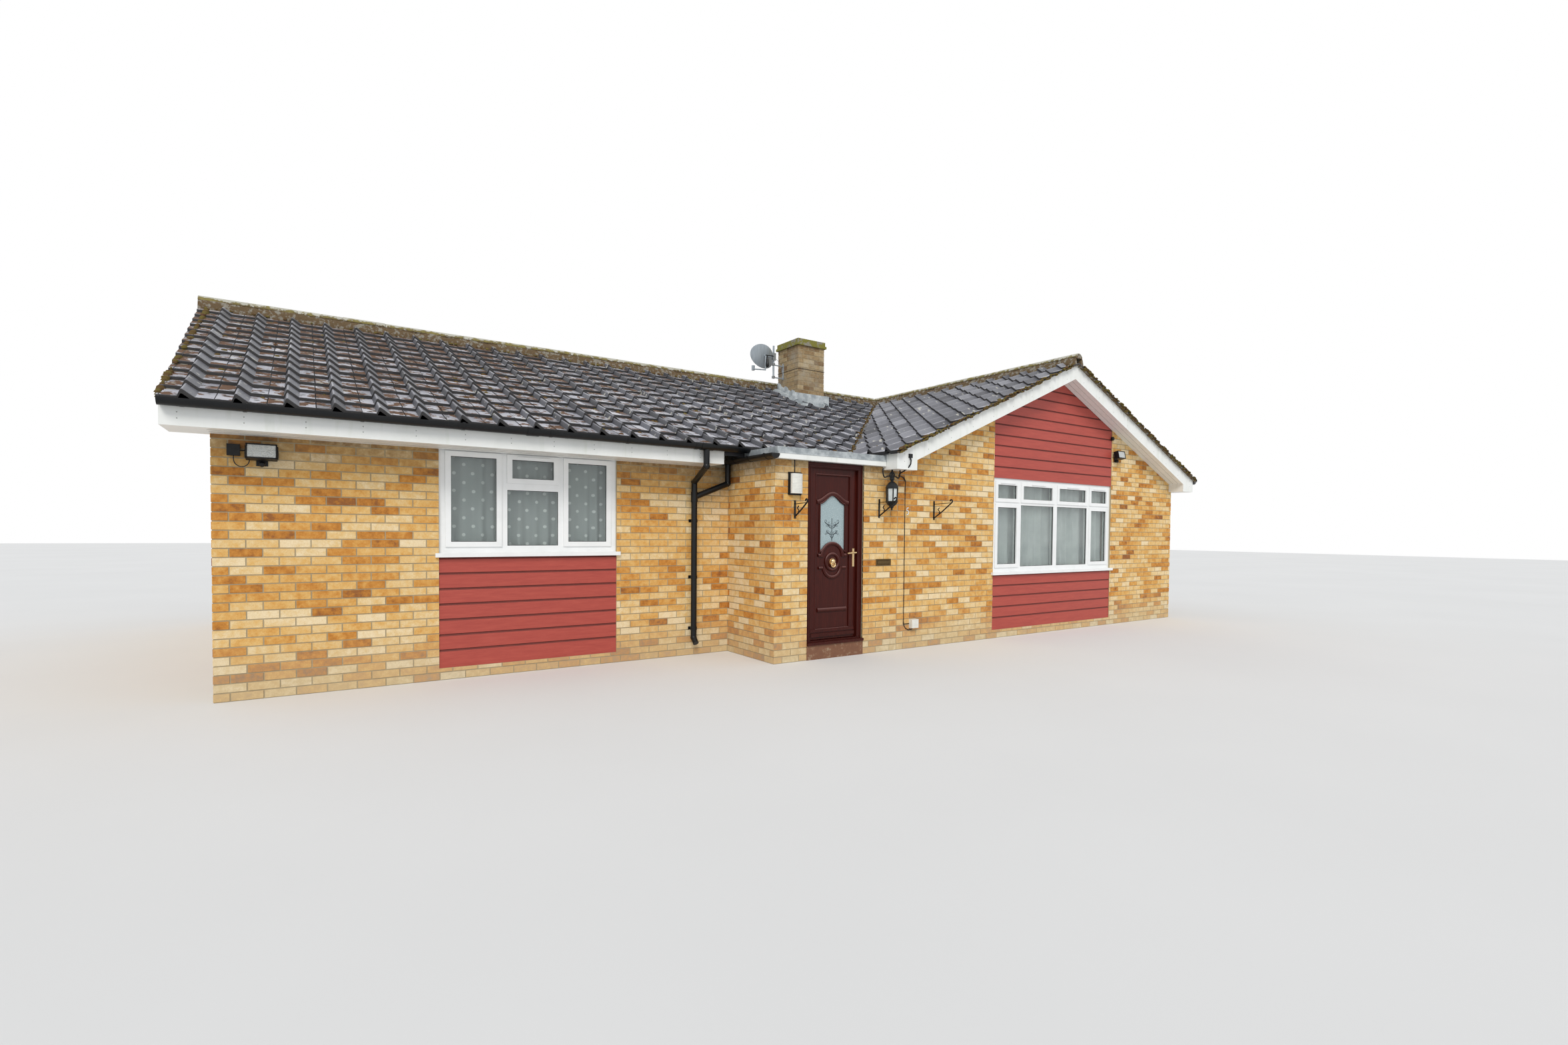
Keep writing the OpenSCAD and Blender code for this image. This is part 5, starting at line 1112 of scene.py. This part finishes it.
# Door frame and leaf. Hollow plastic sections are covered with a dark rosewood foil; the leaf has
# pressed mouldings: a wave over the glass, an arch below it, a round boss, a hanging curve and two
# weather bars.
# Rosewood foil: printed grain, satin lacquer, nearly black in the pores, with a painted highlight on the
# mouldings' upward faces
rosewood_foil, tree, shader, here, upper = surface("rosewood_foil", "upper")
grain_place = add(tree, "Mapping", Vector=here, Scale=(1.0, 1.0, 0.055))
grain = add(tree, "TexNoise", Vector=grain_place, Scale=per(9), Detail=8.0, Roughness=0.6, Distortion=0.6)
figure = add(tree, "TexNoise", Vector=grain_place, Scale=per(70), Detail=4.0, Distortion=1.2)
printed = add(tree, "MixRGB", Fac=0.45,
              Color1=add(tree, "ValToRGB", Fac=grain,
                         stops=[(0, "#140403"), (0.5, "#3A0F0B"), (1, "#6A271B")]),
              Color2=add(tree, "ValToRGB", Fac=figure, stops=[(0, "#260A06"), (1, "#521C12")]))
finish(tree, shader, add(tree, "MixRGB", Fac=upper, Color1=printed, Color2="#94706C"), grain, (0.25, 0.42),
       grain, (0.25, 0.0006), Specular_IOR_Level=0.22)
for part in ("door_frame", "front_door"):
    dress(part, rosewood_foil)

LEAF_X, LEAF_Y, LEAF_Z, LEAF_W, LEAF_H, PANEL_BACK = 5.341, -0.96, 0.215, 0.703, 1.979, 0.015
MID_X = LEAF_X + LEAF_W / 2
PANEL_Y = LEAF_Y + PANEL_BACK
mouldings = Shape()


def run_mould(shape, path, width, proud, closed=False, base=PANEL_Y):
    """A rounded moulding along a path of places on the leaf's face, from its middle and its foot."""
    count = len(path)
    section = [(-0.5, 0.0), (-0.48, 0.45), (-0.4, 0.72), (-0.22, 0.93), (0, 1.0), (0.22, 0.93), (0.4, 0.72),
               (0.48, 0.45), (0.5, 0.0)]
    loops = []
    for i, (x, z) in enumerate(path):
        before = path[(i - 1) % count] if closed or i else path[0]
        after = path[(i + 1) % count] if closed or i < count - 1 else path[-1]
        along = Vector((after[0] - before[0], 0, after[1] - before[1])).normalized()
        across = Vector((along.z, 0, -along.x))
        loops.append([Vector((MID_X + x, base - 1.25 * proud * up, LEAF_Z + z)) + across * (width * off)
                      for off, up in section])
    if closed:
        loops.append(loops[0])
    shape.loft(loops, caps=not closed)


def arc(cx, cz, r, t0, t1, count=28):
    """Points on an arc between two angles in degrees."""
    return [(cx + r * math.cos(math.radians(t0 + (t1 - t0) * k / count)),
             cz + r * math.sin(math.radians(t0 + (t1 - t0) * k / count))) for k in range(count + 1)]


wave = [((u * 2 - 1) * 0.232, 1.562 + 0.023 + 0.098 * (1 - math.cos(2 * math.pi * u)) / 2)
        for u in (k / 40 for k in range(41))]
run_mould(mouldings, wave, 0.05, 0.015)
for path, width, proud in (
        ([(-0.208, 0.969), (-0.172, 0.969)], 0.034, 0.014), ([(0.172, 0.969), (0.208, 0.969)], 0.034, 0.014),
        (arc(0, 0.952, 0.155, 180, 0), 0.041, 0.015)):
    run_mould(mouldings, path, width, proud)
run_mould(mouldings, arc(0, 0.892, 0.093, 0, 360, 40)[:-1], 0.034, 0.0155, closed=True)
for path, width, proud in (
        (arc(0, 0.84, 0.127, 180, 360), 0.041, 0.0145),
        ([(-0.2, 0.823), (-0.142, 0.823)], 0.034, 0.014), ([(0.142, 0.823), (0.2, 0.823)], 0.034, 0.014),
        ([(-0.213, 0.335), (0.213, 0.335)], 0.05, 0.0145)):
    run_mould(mouldings, path, width, proud)
parts = [k / 30 for k in range(31)]
outline = [(0.187 - 0.374 * u, 1.569 + 0.098 * (1 - math.cos(2 * math.pi * u)) / 2) for u in parts]
outline += [(0.374 * u - 0.187, 1.005 + 0.099 * math.sin(math.pi * u)) for u in parts]
run_mould(mouldings, outline, 0.017, 0.0135, closed=True)
x0, x1, z0, z1 = 0.096 - LEAF_W / 2, LEAF_W / 2 - 0.096, 0.11, LEAF_H - 0.078
edge = [(x0, z0), (x1, z0), (x1, z1), (x0, z1)]
for (ax, az), (bx, bz) in zip(edge, edge[1:] + edge[:1]):
    dx = 0.008 if bx > ax else -0.008 if bx < ax else 0
    dz = 0.008 if bz > az else -0.008 if bz < az else 0
    run_mould(mouldings, [(ax - dx, az - dz), (bx + dx, bz + dz)], 0.022, 0.0165)
run = piece("door_mouldings", mouldings, rosewood_foil, "door_leaf", soften=50).data
# The mouldings' faces that look up and out get a painted highlight, stronger the more they face up
run.attributes.new("upper", "FLOAT", "FACE").data.foreach_set(
    "value", [0.75 * max(0.0, side.normal.z) if side.normal.y < -0.2 else 0.0 for side in run.polygons])

steps = Shape()
door_left, door_right, head = 5.28, 6.105, CANOPY_Z
for inset, width, front in ((0.006, 0.013, 0.006), (0.03, 0.01, 0.005), (0.052, 0.008, 0.004)):
    face = -STEP + 0.025
    for a0, a1 in ((door_left + inset, door_left + inset + width),
                   (door_right - inset - width, door_right - inset)):
        steps.loft([[(a0, face + 0.001, z), (a1, face + 0.001, z), (a1 - 0.003, face - front, z),
                     (a0 + 0.003, face - front, z)] for z in (0.209, head - inset)])
    steps.loft([[(x, face + 0.001, head - inset - width), (x, face + 0.001, head - inset),
                 (x, face - front, head - inset - 0.003), (x, face - front, head - inset - width + 0.003)]
                for x in (door_left + inset, door_right - inset)])
piece("door_frame_beads", steps, rosewood_foil, soften=30)

# Door glass. Obscured glass with an etched pattern of leaves and scrolls, common on such doors.
# Obscured glass: pressed with a fine ripple that scatters the light
obscured, tree, shader, here = surface("obscured_glass")
ripple = add(tree, "TexVoronoi", Vector=here, Scale=per(9), feature="SMOOTH_F1")
finish(tree, shader,
       add(tree, "ValToRGB", Fac=ripple.outputs["Distance"], stops=[(0, "#A0B5BA"), (1, "#BACBCE")]),
       ripple.outputs["Distance"], (0.15, 0.35), ripple.outputs["Distance"], (0.15, 0.001),
       Transmission_Weight=0.2, IOR=1.5)
dress("door_glass", obscured)

etch = Shape()
GLASS_Y = LEAF_Y + PANEL_BACK + 0.008


def scroll(shape, cx, cz, r, turns, start, hand, width):
    """A tapering spiral line, etched on the glass."""
    line = []
    count = 26
    for k in range(count + 1):
        t = k / count
        angle = math.radians(start) + hand * turns * 2 * math.pi * t
        radius = r * (1 - 0.82 * t)
        line.append((cx + radius * math.cos(angle), cz + radius * math.sin(angle), width * (1 - 0.6 * t)))
    ribbon(shape, line)


def ribbon(shape, line):
    """A flat band of changing width along points of the glass."""
    loops = []
    for i, (x, z, w) in enumerate(line):
        bx, bz, _ = line[max(i - 1, 0)]
        ax, az, _ = line[min(i + 1, len(line) - 1)]
        along = Vector((ax - bx, 0, az - bz)).normalized()
        across = Vector((along.z, 0, -along.x)) * (w / 2)
        mid = Vector((MID_X + x, GLASS_Y - 0.0004, LEAF_Z + z))
        raised = Vector((0, -0.0006, 0))
        loops.append([mid - across, mid - across + raised, mid + across + raised, mid + across])
    shape.loft(loops)


for hand in (-1, 1):
    for cx, cz, r, turns, start, width in (
            (0.085, 1.365, 0.026, 1.1, 250, 0.006), (0.04, 1.345, 0.022, 1.1, 200, 0.005),
            (0.075, 1.318, 0.018, 1.1, 150, 0.005), (0.06, 1.245, 0.024, 1.2, 240, 0.006),
            (0.09, 1.222, 0.016, 1.1, 150, 0.005), (0.028, 1.225, 0.018, 1.1, 70, 0.005)):
        scroll(etch, hand * cx, cz, r, turns, start if hand > 0 else 180 - start, hand, width)
    ribbon(etch, [(hand * 0.006 * math.sin(9 * t), 1.136 + 0.264 * t, 0.005 * (1 - 0.4 * t) + 0.001)
                  for t in (k / 16 for k in range(17))])
    for z, reach in ((1.31, 0.105), (1.285, 0.07), (1.21, 0.085), (1.17, 0.03)):
        ribbon(etch, [(hand * reach * t, z + 0.05 * t * t, 0.0025 + 0.008 * math.sin(math.pi * t))
                      for t in (j / 8 for j in range(9))])
# Etched line: acid frosted and darkened, with a silky edge
etched_line = coat("dark_etched_line", 6, 4.0, (0.35, 0.55), (0.1, 0.0005), [(0, "#2A3237"), (1, "#566269")])
piece("etched_scrolls", etch, etched_line, "door_leaf")

# Door furniture. Brass castings, polished and lacquered: a knocker on the round boss and a lever
# handle on a long plate.
# Lacquered brass: polished, warm, with fine wipe marks
lacquered_brass = coat("lacquered_brass", 4, 5.0, (0.28, 0.45), (0.06, 0.0004),
                       [(0, "#C9A066"), (1, "#F2DDB4")], stretch=(1.0, 1.0, 0.15), Metallic=1.0)
dress("door_brassware", lacquered_brass)
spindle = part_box("door_brassware")[1]
lever = Shape()
x, z = spindle[0] - 0.015, spindle[2] - 0.048
lever.tube([(x + 0.02, LEAF_Y - 0.04, z + 0.001), (x - 0.03, LEAF_Y - 0.042, z),
            (x - 0.08, LEAF_Y - 0.04, z - 0.005), (x - 0.108, LEAF_Y - 0.036, z - 0.008)], 0.0098, 12)
lever.tube([(MID_X + 0.03 * math.sin(a), PANEL_Y - 0.03, 1.076 - 0.03 * math.cos(a))
            for a in (math.radians(-150 + 20 * k) for k in range(16))], 0.0068, 10)
piece("handle_lever_and_ring", lever, lacquered_brass, "door_leaf", soften=60)

# Wall plates. The letter plate is aged brass, let into the pier on a thin backplate; the number is a
# raised white figure with a black edge, fixed to the wing's wall.
# Tarnished brass: brown film, brighter on the raised edges
tarnished = coat("tarnished_brass", 18, 7.0, (0.35, 0.6), (0.3, 0.0006),
                 [(0, "#3C3124"), (0.6, "#6A5636"), (1, "#9A8150")], grain=0.65, Metallic=0.85)
plate = Shape()
x0, z0, x1, z1 = 6.306, 1.053, 6.546, 1.133
plate.loft([[(x0 + i, y, z0 + i), (x1 - i, y, z0 + i), (x1 - i, y, z1 - i), (x0 + i, y, z1 - i)]
            for i, y in ((0, -1.02), (0, -1.028), (0.004, -1.033), (0.013, -1.033), (0.018, -1.027))])
plate.block((x0 + 0.022, -1.031, z0 + 0.022), (x1 - 0.022, -1.026, z1 - 0.022))
plate_piece = piece("letter_plate", plate, tarnished)
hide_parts("wall_plates")
five = [(0.04, 0.088), (0.013, 0.088), (0.009, 0.052), (0.02, 0.057), (0.033, 0.053), (0.041, 0.04),
        (0.041, 0.024), (0.034, 0.01), (0.021, 0.004), (0.006, 0.009)]
for name, wide, proud, base, paint in (("number_edge", 0.018, 0.003, -STEP - 0.003, flex_rubber),
                                       ("number_face", 0.0115, 0.002, -STEP - 0.0062, white_board)):
    figure = Shape()
    run_mould(figure, [(6.797 + a - MID_X, 1.676 + b - LEAF_Z) for a, b in five], wide, proud, base=base)
    piece(name, figure, paint, soften=50)

# Outside lights. The floodlights are die cast boxes painted black, each with a pale reflector behind
# glass and a round sensor under it; the porch lantern hangs by its rod from a bent arm, and is black
# with six milky panes.
# Black powder coat: fine orange peel
black_paint = coat("black_powder_coat", 70, 5.0, (0.35, 0.55), (0.2, 0.0005),
                   [(0, "#08090A"), (1, "#202123")], relief=(4, 3.0), Specular_IOR_Level=0.3)
dress("floodlights", black_paint)

# Reflector and lens: dimpled bright metal seen through glass
reflector = coat("dimpled_reflector", 11, 0.0, (0.2, 0.4), (0.5, 0.002), [(0, "#D9DDDC"), (1, "#A3A8A8")],
                 kind="TexVoronoi", Metallic=0.4)
faces, rims = Shape(), Shape()


def lamp_block(shape, lamp, low, high, depths):
    """A block on a floodlight's body, which leans forward; its corners and depths are its own."""
    (cx, y, cz), (x0, z0), (x1, z1) = lamp, low, high
    loops = []
    for d in depths:
        turned = [LEAN @ Vector((x, d, z)) for x, z in ((x0, z0), (x1, z0), (x1, z1), (x0, z1))]
        loops.append([Vector((cx + p.x, y - 0.04 + p.y, cz + p.z)) for p in turned])
    shape.loft(loops)


LEAN, RIM = Matrix.Rotation(math.radians(-12), 4, "X"), 0.011
for lamp, w, h in (((0.335, 0.0, 2.068), 0.212, 0.127), ((11.44, -STEP, 2.725), 0.2, 0.12)):
    lamp_block(faces, lamp, (-w / 2 + RIM, -h / 2 + RIM), (w / 2 - RIM, h / 2 - RIM), (-0.069, -0.0715))
    for low, high in (((-w / 2, -h / 2), (w / 2, -h / 2 + RIM)), ((-w / 2, h / 2 - RIM), (w / 2, h / 2)),
                      ((-w / 2, -h / 2), (-w / 2 + RIM, h / 2)), ((w / 2 - RIM, -h / 2), (w / 2, h / 2))):
        lamp_block(rims, lamp, low, high, (-0.068, -0.076))
    for k in range(9):
        z = -h / 2 + 0.015 + k * (h - 0.03) / 8
        lamp_block(rims, lamp, (-w / 2 - 0.006, z - 0.0015), (w / 2 + 0.006, z + 0.0015), (-0.004, -0.05))
piece("floodlight_faces", faces, reflector)
piece("floodlight_rims_and_fins", rims, black_paint)

LANTERN_X, LANTERN_Y = 6.45, -1.135


def hexagon(r, z):
    """A level ring of six corners round the lantern's rod."""
    return [(LANTERN_X + r * math.cos(t), LANTERN_Y + r * math.sin(t), z)
            for t in (math.radians(60 * k) for k in range(6))]


lantern = Shape()
for rings in (((0.07, 1.984), (0.08, 1.988), (0.08, 1.998), (0.072, 2.02), (0.052, 2.048), (0.028, 2.066),
               (0.02, 2.07), (0.02, 2.084), (0.03, 2.092), (0.03, 2.12), (0.016, 2.132), (0.01, 2.212)),
              ((0.004, 1.724), (0.013, 1.734), (0.01, 1.745), (0.022, 1.756), (0.026, 1.77), (0.052, 1.788),
               (0.068, 1.812), (0.073, 1.822), (0.073, 1.832), (0.06, 1.834))):
    lantern.loft([hexagon(r, z) for r, z in rings])
for low, high in zip(hexagon(0.064, 1.828), hexagon(0.069, 1.988)):
    lantern.tube([low, high], 0.0075, 8)
for hand, reach in ((-1, 0.15), (1, 0.13)):
    lantern.tube([(LANTERN_X + hand * reach * math.sin(1.9 * t), LANTERN_Y,
                   2.11 + 0.1 * t * t + 0.02 * math.sin(9 * t))
                  for t in (k / 12 for k in range(13))], 0.0085, 8)
lantern.tube([(LANTERN_X - 0.034 * math.sin(a), LANTERN_Y, 2.15 + 0.034 * math.cos(a))
              for a in (2 * math.pi * k / 16 for k in range(17))], 0.009, 8)
lantern.block((6.585, -1.295, 2.352), (6.632, -1.268, 2.4))
lantern.tube([(6.607, -1.28, 2.365), (6.61, -1.29, 2.32), (6.606, -1.29, 2.28), (6.59, -1.27, 2.24),
              (6.57, -1.22, 2.2), (6.55, -1.16, 2.17), (6.58, -1.12, 2.15), (6.66, -1.07, 2.148),
              (6.74, -1.035, 2.135), (6.77, -1.027, 2.1)], 0.008, 8)
lantern_piece = piece("porch_lantern_body", lantern, black_paint, soften=35)
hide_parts("porch_lantern")
panes = Shape()
panes.loft([hexagon(0.06, 1.832), hexagon(0.065, 1.986)])
# Lantern pane: milky plastic sheet
milky = coat("milky_lantern_pane", 30, 4.0, (0.2, 0.4), (0.1, 0.001), [(0, "#B9C0BE"), (1, "#E2E6E4")])
piece("lantern_panes", panes, milky)

# Bulkhead light and socket. Both are moulded boxes screwed to the wall beside the porch. The light has
# a ribbed lens on a dark base, and a black cable is clipped to the wall and loops into the socket.
# Moulded plastic: light grey, faintly yellowed, satin
grey_plastic = coat("light_grey_moulded_plastic", 50, 5.0, (0.35, 0.55), (0.1, 0.001),
                    [(0, "#D2D2CB"), (1, "#EFEEE6")])
for fitting in ("bulkhead_light", "outside_socket"):
    dress(fitting, grey_plastic, black_paint)
for side in nodes["bulkhead_light"].data.polygons:
    side.material_index = 1 if side.center.y > -1.0505 or side.center.z > 2.109 else 0
for side in nodes["outside_socket"].data.polygons:
    side.material_index = 1 if side.center.x < 6.866 else 0
ribs = Shape()
for k in range(13):
    z = 1.987 - 0.1 + 0.2 * k / 12
    loops = []
    for i in range(13):
        t = math.asin(0.066 / 0.14) * (i / 6 - 1)
        c, s = math.cos(t), math.sin(t)
        loops.append([(5.093 + (0.14 + up) * s, -STEP + 0.062 - (0.14 + up) * c, z + w)
                      for up, w in ((-0.001, -0.005), (0.0022, -0.003), (0.0022, 0.003), (-0.001, 0.005))])
    ribs.loft(loops)
piece("bulkhead_lens_ribs", ribs, grey_plastic, soften=50)
base = Shape()
base.block((5.006, -1.034, 1.86), (5.18, -1.02, 2.114))
base.block((5.03, -1.052, 1.861), (5.156, -1.02, 1.867))
base.tube([(6.776, -1.026, 0.34), (6.785, -1.026, 0.29), (6.81, -1.028, 0.255), (6.85, -1.032, 0.238),
           (6.9, -1.04, 0.24), (6.915, -1.048, 0.255), (6.917, -1.05, 0.262)], 0.0052, 8)
piece("bulkhead_base_and_cable_loop", base, black_paint)

# Hanging basket brackets. An upright bar is screwed to the wall, a thin bar runs out from its head,
# and a strut from its foot curls up at the tip and carries a small scroll.
bars = Shape()
for x, z, high, reach in ((5.1, 1.602, 0.2, 0.235), (6.3455, 1.632, 0.226, 0.3), (7.285, 1.624, 0.24, 0.31)):
    y = -STEP
    bars.block((x - 0.011, y - 0.012, z), (x + 0.011, y, z + high))
    bars.tube([(x, y - 0.006, z + high - 0.04), (x, y - reach, z + high - 0.03)], 0.0045, 6)
    tip = (y - reach + 0.01, z + high - 0.03)
    curl = [(x, tip[0] + 0.018 * math.sin(a), tip[1] + 0.02 - 0.02 * math.cos(a))
            for a in (math.radians(-30 - 27 * k) for k in range(10))]
    bars.tube([(x, y - 0.012, z + 0.022), (x, y - reach * 0.5, z + 0.022 + (high - 0.06) * 0.47)] + curl,
              0.0085, 8)
    mid = (y - reach * 0.3, z + high * 0.36)
    bars.tube([(x, mid[0] - 0.014 * math.sin(a * 1.3), mid[1] + 0.012 * a)
               for a in (k / 2.2 for k in range(13))], 0.006, 6)
    for drop in (0.03, 0.1):
        bars.tube([(x + d, y - 0.012, z + high - drop) for d in (-0.004, 0.004)], 0.006, 8)
bars_piece = piece("basket_bracket_bars", bars, black_paint, soften=50)
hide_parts("basket_brackets")

# Satellite dish. A pressed steel dish, powder coated grey, on a galvanised mast that is bolted to the
# stack; its back is to the street.
# Grey powder coat: matt, streaked by rain
dish_coat = coat("grey_dish_coat", 40, 7.0, (0.4, 0.65), (0.15, 0.001),
                 [(0, "#8A9299"), (0.5, "#A5AEB5"), (1, "#BEC5CA")], stretch=(1.0, 1.0, 0.2), Metallic=0.2)
dress("satellite_dish", dish_coat)
clamp = Shape()
mast_x, mast_y = STACK[0] - 0.205, STACK[1] + 0.45
for z in (4.43, 4.49):
    clamp.block((mast_x - 0.03, mast_y - 0.03, z), (mast_x + 0.03, mast_y + 0.03, z + 0.012))
clamp.block((mast_x - 0.028, mast_y - 0.034, 4.4), (mast_x + 0.028, mast_y - 0.026, 4.53))
for z in (4.12, 4.34):
    clamp.tube([(mast_x - 0.028, mast_y, z - 0.012), (mast_x - 0.028, mast_y, z + 0.012)], 0.006, 6)
    clamp.block((mast_x - 0.022, mast_y - 0.02, z - 0.02), (mast_x + 0.022, mast_y + 0.02, z + 0.02))
clamp.tube([(mast_x + 0.01, mast_y - 0.018, 4.45), (mast_x + 0.06, mast_y - 0.05, 4.4),
            (mast_x + 0.11, mast_y - 0.06, 4.3), (mast_x + 0.15, mast_y - 0.05, 4.2),
            (mast_x + 0.199, mast_y - 0.03, 4.12)], 0.0035, 8)
piece("mast_clamps", clamp, zinc, soften=40)

receiver = Shape()
receiver.tube([(7.3, 2.78, 4.475), (7.2, 2.74, 4.462), (7.09, 2.715, 4.45)], 0.009, 8)
receiver.loft([[(7.13 + r * math.cos(t), 2.725 + r * math.sin(t), z)
                for t in (math.pi * k / 6 for k in range(12))]
               for r, z in ((0.01, 4.455), (0.013, 4.4), (0.02, 4.38), (0.02, 4.34), (0.028, 4.32),
                            (0.03, 4.28), (0.02, 4.255))])
piece("dish_arm_and_receiver", receiver, black_plastic, soften=40)

# Stage: a pale floor and a white surround, with soft light from a wide sky and a broad sun from the
# left on the street side.
floor_shape = Shape()
floor_shape.block((-60, -60, -0.05), (70, 70, -0.0005))
floor_mesh = bpy.data.meshes.new("studio_floor")
floor_mesh.from_pydata(floor_shape.corners, [], floor_shape.faces)
studio_floor = bpy.data.objects.new("studio_floor", floor_mesh)
scene.collection.objects.link(studio_floor)
# Studio floor: matt, nearly white, very slightly uneven
floor_paint, tree, shader, here = surface("pale_studio_floor")
scuffs = add(tree, "TexNoise", Vector=here, Scale=per(3000), Detail=4.0)
feed(tree, shader, Base_Color=add(tree, "ValToRGB", Fac=scuffs, stops=[(0, "#D9D9D8"), (1, "#E2E2E1")]),
     Roughness=add(tree, "MapRange", Value=scuffs, To_Min=0.85, To_Max=0.95))
floor_mesh.materials.append(floor_paint)

world = bpy.data.worlds.new("studio_surround")
scene.world = world
world.use_nodes = True
tree = world.node_tree
sky = tree.nodes["Background"]
feed(tree, sky, Color="#EEF2F8", Strength=0.74)
shown = add(tree, "Background", Color=(1.0, 1.0, 1.0, 1.0), Strength=1.0)
ray = add(tree, "LightPath")
seen = add(tree, "Math", ray.outputs["Is Camera Ray"], ray.outputs["Is Transmission Ray"],
           operation="MAXIMUM")
seen = add(tree, "Math", seen, ray.outputs["Is Glossy Ray"], operation="MAXIMUM")
feed(tree, tree.nodes["World Output"], Surface=add(tree, "MixShader", seen, sky, shown))
sun = bpy.data.lights.new("broad_sun", "SUN")
sun.energy = 1.75
sun.angle = math.radians(25)
sun.color = (1.0, 0.97, 0.92)
sun_lamp = bpy.data.objects.new("broad_sun", sun)
sun_lamp.rotation_euler = Vector((-0.45, -0.7, 0.75)).to_track_quat("Z", "Y").to_euler()
scene.collection.objects.link(sun_lamp)
scene.view_settings.view_transform = "Standard"
